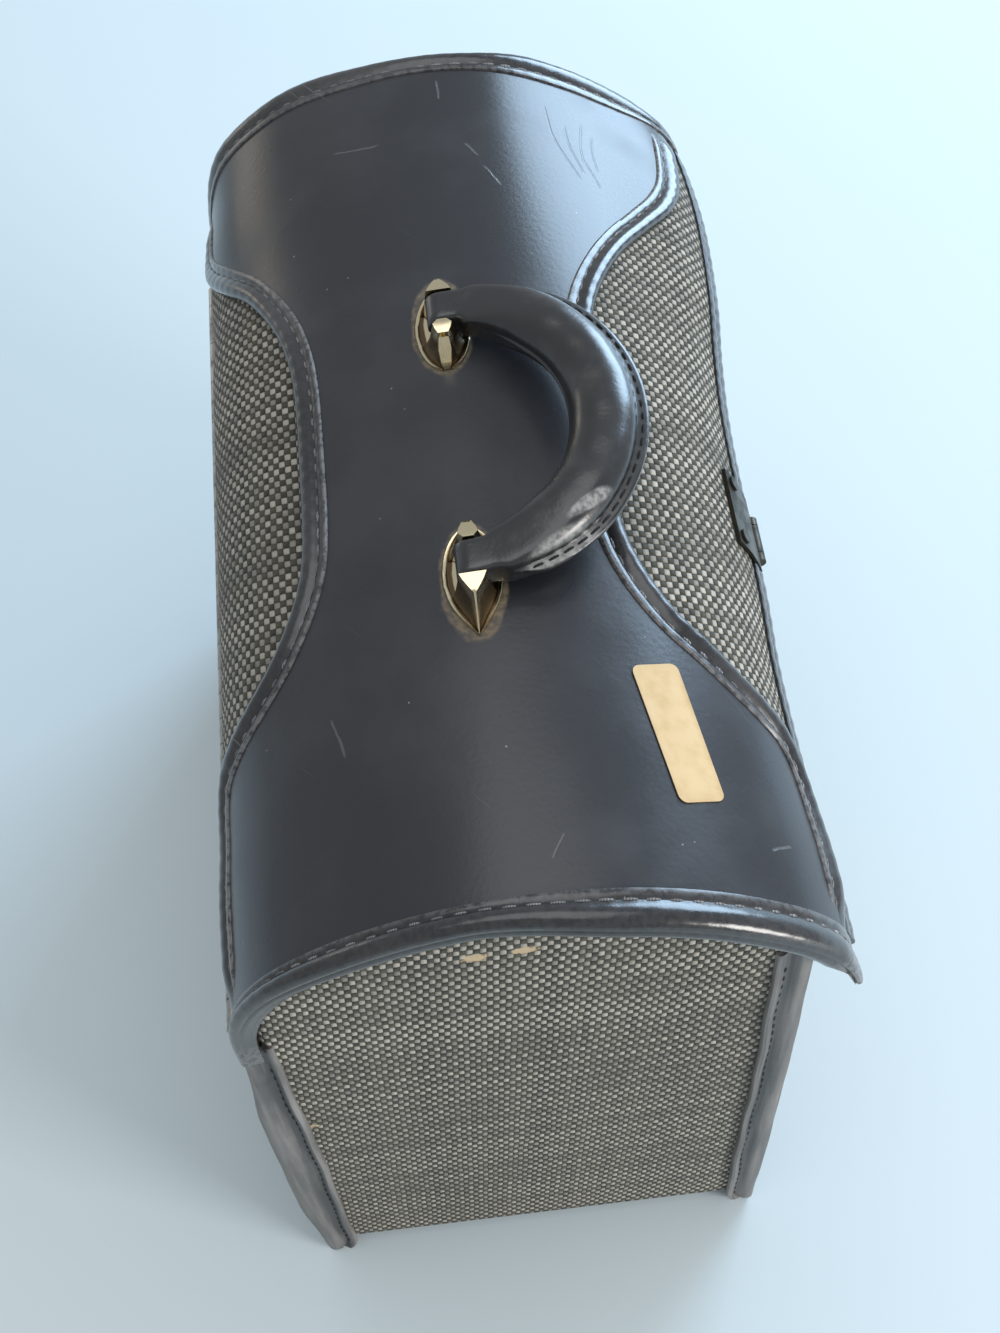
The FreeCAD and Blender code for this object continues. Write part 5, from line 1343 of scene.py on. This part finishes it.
def make_fitting_brass():
    """Cast brass, tarnished in clouds; bright on the edges and tops, as polished metal and painted highlight,
    and brown in its hollow facets, as grime and painted dark reflection.
    """
    material, tree, shader, place = start_material("cast brass", {"Metallic": 1.0})
    old = add_node(tree, "ShaderNodeGroup", {"Vector": place.outputs["Object"]}, node_tree=tarnish_group)
    highlight_and_polish_mask = add_node(tree, "ShaderNodeAttribute", attribute_name="highlight_and_polish")
    worn = calc(tree, "MULTIPLY_ADD", old.outputs["Dull"], -0.35, highlight_and_polish_mask.outputs["Fac"])
    colour = blend_colours(tree, fade(tree, worn, 0.0, 0.65), BRASS_GRIME_AND_DARK_REFLECTION, BRASS_BRIGHT)
    set_surface(tree, shader, colour, fade(tree, worn, 0.0, 0.8, 0.34, 0.16), old.outputs["Height"], 0.00002)
    return material


def leaf_half_width(along):
    """Half width of the leaf: a parabola to the pointed end, and a half oval to the rounded one."""
    point = LEAF_HALF_WIDTH * (1 - (along / LEAF_POINT) ** 2)
    rounded = LEAF_HALF_WIDTH * np.sqrt(np.clip(1 - (along / LEAF_ROUND) ** 2, 0, 1))
    return np.where(along > 0, point, rounded)


def panel_height(x):
    """Height of the panel's outer face on the crown of the lid, a circle, at a place across the case."""
    return CROWN_Z - CROWN_RADIUS + np.sqrt((CROWN_RADIUS + PANEL_TOP) ** 2 - (x - CROWN_X) ** 2)


def add_fitting(name, outward):
    """Rows along the leaf: each goes over the rim bead, up a hollow facet to the top, and down again, on the
    curve of the panel. Outward is the way along the case in which the point lies."""
    along, height, top = EAR_ROWS.T
    edge = leaf_half_width(along)
    slender = np.minimum(1, edge / 5)
    bead = edge[:, None] - slender[:, None] * BEAD_OUT
    foot = bead[:, -1]
    top = np.minimum(top, 0.75 * foot)
    facet = top[:, None] + (foot - top)[:, None] * FACET_SHARES
    facet_up = BEAD_UP[-1] + (height - BEAD_UP[-1])[:, None] * (1 - FACET_SHARES) ** FACET_HOLLOW
    out = np.column_stack([bead, facet, top, np.zeros_like(top)])
    up = np.column_stack([np.tile(BEAD_UP, (len(along), 1)), facet_up, height, height])
    out = np.concatenate([out, -out[:, -2::-1]], axis=1)
    up = np.concatenate([up, up[:, -2::-1]], axis=1)
    x = HANDLE_X + out
    y = HANDLE_Y + outward * (POST_HALF_SPAN + along)
    base = panel_height(x)
    y = np.broadcast_to(y[:, None], x.shape)
    upper = np.stack([x, y, base + up], axis=-1)
    lower = np.stack([x, y, base + BEAD_UP[0] - LEAF_SUNK], axis=-1)
    fitting = add_piece(name + "_cast", closed_sheet(upper, lower), fitting_brass, "lid")
    # Painted highlight and dark reflection, with polishing and grime, on the upper face; the underside stays
    # dark.
    highlight_and_polish = np.broadcast_to(np.concatenate([ROW_HIGHLIGHT_AND_POLISH, ROW_HIGHLIGHT_AND_POLISH[-2::-1]]), x.shape)
    paint(fitting, "highlight_and_polish", np.concatenate([highlight_and_polish, 0 * highlight_and_polish]))
    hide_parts(name)


fitting_brass = make_fitting_brass()
add_fitting("near_handle_fitting", -1)
add_fitting("far_handle_fitting", 1)
dress(brass, "handle_pins", "handle_rivets")

# Handle
# A padded grip of black leather is bent to a half oval and sewn along its outer edge, where both edges of the
# hide stand out as a flange. Its ends are flattened to square tabs that turn on the fittings' pins.

PIVOT_RISE = 9.0
PIVOT_Z = panel_height(HANDLE_X) + PIVOT_RISE
HANDLE_REST = np.radians(5.0)
GRIP_REACH = 54.0
GRIP_SIZE = (24.0, 21.0)
GRIP_END_SIZE = (14.4, 11.0)
GRIP_STEPS = 220
GRIP_AROUND = 96
TAB_STEPS = 6
TAB_SLIDE = (-5.4, -0.9)
TAB_RADIUS = 5.6
FLANGE = 3.8
FLANGE_HALF_THICKNESS = 1.5
FLANGE_SEWN = 0.42
GRIP_STITCH_PITCH = 5.9
GRIP_STITCH_LENGTH = 4.6
GRIP_SEWN_FROM = 0.30
THREAD_DARK = (0.030, 0.030, 0.032, 1.0)
THREAD_DARKEST = (0.008, 0.008, 0.009, 1.0)
LEATHER_BLACK = (0.0160, 0.0168, 0.0190, 1.0)
LEATHER_SCUFF_AND_SHEEN = (0.38, 0.38, 0.37, 1.0)
SCUFF_AND_SHEEN_OVALS = (((42.5, -61.2), (10.5, 2.4), 0.60), ((30.0, -77.2), (17.8, 5.4), 0.50))


def make_grip_leather():
    """Black hide, polished by hands, with a fine pebbled grain, and lighter grey on top of its near part in
    two slanting ovals, each with a place, a half size and a turn: partly rubbed wear and partly a painted
    sheen."""
    settings = {"Specular IOR Level": 0.55, "Coat Weight": 0.6, "Coat Roughness": 0.28}
    material, tree, shader, place = start_material("grip leather", settings)
    vector = place.outputs["Object"]
    pebbles = add_node(tree, "ShaderNodeTexVoronoi", {"Vector": vector, "Scale": 900.0}, feature="SMOOTH_F1")
    scuff_and_sheen_masks = []
    for centre, size, turn in SCUFF_AND_SHEEN_OVALS:
        pivot = {"Vector": vector, "Axis": (0.0, 0.0, 1.0), "Angle": -turn}
        pivot["Center"] = (centre[0] / 1000, centre[1] / 1000, 0.0)
        turned = add_node(tree, "ShaderNodeVectorRotate", pivot)
        x, y = split(tree, turned.outputs[0])[:2]
        scuff_and_sheen_masks.append(oval_mask(tree, x, y, centre, size))
    worn = strongest(tree, scuff_and_sheen_masks)
    # The rubbed ovals lighten upward faces only: partly wear, partly a painted sheen.
    upper = fade(tree, split(tree, place.outputs["Normal"])[2], 0.05, 0.5)
    rubbed_top_and_sheen = calc(tree, "MULTIPLY", upper, fade(tree, cloud(tree, vector, 420.0, 5.0), 0.32, 0.66, 0.25, 0.85))
    smear = fade(tree, cloud(tree, vector, 60.0, 4.0), 0.5, 0.85, 0.0, 0.14)
    rub = calc(tree, "MAXIMUM", calc(tree, "MULTIPLY", worn, rubbed_top_and_sheen), smear)
    colour = blend_colours(tree, rub, LEATHER_BLACK, LEATHER_SCUFF_AND_SHEEN)
    rough = fade(tree, rub, 0.0, 1.0, 0.27, 0.55)
    crease = cloud(tree, vector, 170.0, 4.0)
    height = calc(tree, "MULTIPLY_ADD", pebbles.outputs["Distance"], 0.25, crease)
    set_surface(tree, shader, colour, rough, height, 0.00022)
    return material


def handle_place(local):
    """Turns points of the handle's own plane up by its resting angle and moves them to the pivots."""
    x = local[..., 0] * np.cos(HANDLE_REST) - local[..., 2] * np.sin(HANDLE_REST)
    z = local[..., 0] * np.sin(HANDLE_REST) + local[..., 2] * np.cos(HANDLE_REST)
    return np.stack([x + HANDLE_X, local[..., 1] + HANDLE_Y, z + PIVOT_Z], axis=-1)


def grip_stations(turn):
    """Middle point, outward direction, width, thickness and roundness of the grip at each angle along its
    half oval."""
    circle = np.stack([np.sin(turn), np.cos(turn), np.zeros_like(turn)], axis=-1)
    half_axes = np.array([GRIP_REACH, POST_HALF_SPAN, 1.0])
    point = circle * half_axes
    outward = unit(circle / half_axes)
    inside = np.minimum(turn, np.pi - turn)
    swell = smooth_step(inside, 0.04, 0.85)
    widening = 0.4 * smooth_step(inside, 0.12, 0.22) + 0.6 * smooth_step(inside, 0.12, 0.85)
    width = GRIP_END_SIZE[0] + (GRIP_SIZE[0] - GRIP_END_SIZE[0]) * widening
    thickness = GRIP_END_SIZE[1] + (GRIP_SIZE[1] - GRIP_END_SIZE[1]) * swell
    return point, outward, width, thickness, swell


def add_grip():
    """Section: a rounded box at the tabs that swells to an oval, pinched out into the flange on the outside
    and into a low ridge on the inside; it is swept along the half oval and on past both pivots."""
    turn = np.concatenate([np.zeros(TAB_STEPS), np.linspace(0, np.pi, GRIP_STEPS), np.full(TAB_STEPS, np.pi)])
    tab = np.linspace(*TAB_SLIDE, TAB_STEPS)
    slide = np.concatenate([tab, np.zeros(GRIP_STEPS), tab[::-1]])
    point, outward, width, thickness, swell = grip_stations(turn)
    point[:, 0] += slide
    eye = np.sqrt(np.clip(1 - (slide / TAB_RADIUS) ** 2, 0.02, 1))
    step = np.linspace(0, 2 * np.pi, GRIP_AROUND, endpoint=False)
    angle = step - 0.42 * np.sin(2 * step)
    power = 2 / (6.0 - 3.8 * swell[:, None])
    side = np.sign(np.cos(angle)) * np.abs(np.cos(angle)) ** power
    rise = np.sign(np.sin(angle)) * np.abs(np.sin(angle)) ** power
    up = rise * (thickness * eye)[:, None] / 2
    outer_side = np.cos(angle) > 0
    pinch = np.exp(-(up / FLANGE_HALF_THICKNESS) ** 6) * outer_side
    flange = FLANGE * smooth_step(swell, 0.08, 0.4)[:, None] * pinch
    ridge = 0.8 * swell[:, None] * np.exp(-(up / 0.9) ** 2) * ~outer_side
    out = side * width[:, None] / 2 + flange - ridge
    wave = 0.012 * np.sin(9 * turn) + 0.01 * np.sin(23 * turn + 1.0)
    up = up * (1 + (wave * swell)[:, None])
    local = point[:, None, :] + out[..., None] * outward[:, None, :]
    local[..., 2] += up
    shell = closed_sweep(handle_place(local))
    grip = add_piece("handle_grip_leather", shell, grip_leather, "handle")
    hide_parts("handle_grip")


def add_grip_stitches():
    """Dark stitches on both faces of the flange, close to the padding."""
    turn = np.linspace(GRIP_SEWN_FROM, np.pi - GRIP_SEWN_FROM, 400)
    point, outward, width = grip_stations(turn)[:3]
    middle = point + outward * (width / 2 + FLANGE * FLANGE_SEWN)[:, None]
    rows = []
    for face in (1.0, -1.0):
        local = middle + np.array([0.0, 0.0, face * FLANGE_HALF_THICKNESS])
        normals = np.tile((0.0, 0.0, face), (len(turn), 1))
        rows.append(stitch_row(handle_place(local), normals, GRIP_STITCH_PITCH, GRIP_STITCH_LENGTH))
    add_piece("handle_stitches", join_shells(rows), dark_thread, "handle")


grip_leather = make_grip_leather()
dark_thread = make_thread("dark thread", THREAD_DARK, THREAD_DARKEST)
add_grip()
add_grip_stitches()

# Hasp
# A cranked brass strip hangs from a pin under the lip and carries the staple that the lock catches.
# The plate that holds its pin is riveted to the lip. All of it has gone nearly black.

BLACKENED_BRIGHT = (0.085, 0.075, 0.058, 1.0)
BLACKENED_DULL = (0.025, 0.024, 0.023, 1.0)

blackened = make_metal("blackened brass", BLACKENED_BRIGHT, BLACKENED_DULL, 0.34)
dress(blackened, "hasp_plate", "hasp_rivets", "hasp_pin", "hasp")

# Floor, light and camera
# The case stands on a pale floor, with a large cool soft lamp low on the far right, a weak one overhead, one
# low on the near right, and a small warm one low on the far left.

FLOOR_BLUE = (0.72, 0.83, 0.88, 1.0)
FLOOR_HAZE = (1.0, 1.0, 1.0, 1.0)
FLOOR_HALF = 6.0
WORLD_LIGHT = (0.93, 0.97, 1.0, 1.0)
WORLD_LEVEL = 0.46
LAMPS = (
    ("key", (1.5, 1.75, 0.95), (0.0, 0.0, 0.25), 1.25, 50.0, (0.55, 0.77, 1.0)),
    ("top", (0.1, 0.2, 2.5), (0.0, 0.0, 0.25), 1.8, 14.0, (1.0, 1.0, 1.0)),
    ("fill", (1.8, -1.3, 0.75), (0.0, 0.0, 0.25), 0.8, 32.0, (1.0, 0.97, 0.93)),
    ("warm", (-1.5, 1.75, 0.45), (0.0, 0.1, 0.3), 0.5, 1.2, (1.0, 0.88, 0.72)),
)
CAMERA_PLACE = (-0.005923, -0.426453, 0.861410)
CAMERA_RIGHT = (0.99316014, -0.10742132, -0.04575573)
CAMERA_UP = (0.11513775, 0.83592823, 0.53662585)
CAMERA_AHEAD = (0.01939655, 0.53822362, -0.84257885)
CAMERA_LENS = 47.26
SENSOR_HEIGHT = 36.0


def make_floor():
    """Pale floor with the faintest cloudiness."""
    material, tree, shader, place = start_material("floor", {"Specular IOR Level": 0.1})
    haze = cloud(tree, place.outputs["Object"], 3.0)
    colour = blend_colours(tree, fade(tree, haze, 0.3, 0.7, 0.0, 0.03), FLOOR_BLUE, FLOOR_HAZE)
    set_surface(tree, shader, colour, fade(tree, haze, 0.0, 1.0, 0.85, 0.9), haze, 0.00001)
    corners = FLOOR_HALF * np.array([(-1.0, -1.0, 0.0), (1.0, -1.0, 0.0), (1.0, 1.0, 0.0), (-1.0, 1.0, 0.0)])
    mesh = bpy.data.meshes.new("floor")
    mesh.from_pydata(corners.tolist(), [], [(0, 1, 2, 3)])
    mesh.materials.append(material)
    floor = bpy.data.objects.new("floor", mesh)
    bpy.context.scene.collection.objects.link(floor)


def add_holder(name, data, place, right, up, ahead):
    """Object that holds a lamp or a camera at a place and looks ahead."""
    holder = bpy.data.objects.new(name, data)
    columns = np.eye(4)
    columns[:3] = np.column_stack([right, up, -np.array(ahead), place])
    holder.matrix_world = Matrix(columns.tolist())
    bpy.context.scene.collection.objects.link(holder)
    return holder


def add_lamp(name, place, aim, size, power, colour):
    """Square area lamp at a place, turned towards the point that is its aim."""
    lamp = bpy.data.lights.new(name, "AREA")
    lamp.size = size
    lamp.energy = power
    lamp.color = colour
    ahead = unit(np.array(aim) - np.array(place))
    right = unit(np.cross(ahead, (0.0, 0.0, 1.0)))
    add_holder(name, lamp, place, right, np.cross(right, ahead), ahead)


def make_world():
    """Even pale light all round."""
    world = bpy.data.worlds.new("studio")
    world.use_nodes = True
    back = world.node_tree.nodes["Background"]
    back.inputs["Color"].default_value = WORLD_LIGHT
    back.inputs["Strength"].default_value = WORLD_LEVEL
    bpy.context.scene.world = world


def add_camera():
    """Camera at the place and the turn that were fitted to the photo's edges."""
    camera = bpy.data.cameras.new("camera")
    camera.sensor_fit = "VERTICAL"
    camera.sensor_height = SENSOR_HEIGHT
    camera.lens = CAMERA_LENS
    holder = add_holder("camera", camera, CAMERA_PLACE, CAMERA_RIGHT, CAMERA_UP, CAMERA_AHEAD)
    bpy.context.scene.camera = holder


make_floor()
make_world()
for lamp in LAMPS:
    add_lamp(*lamp)
add_camera()
bpy.context.scene.view_settings.view_transform = "Standard"
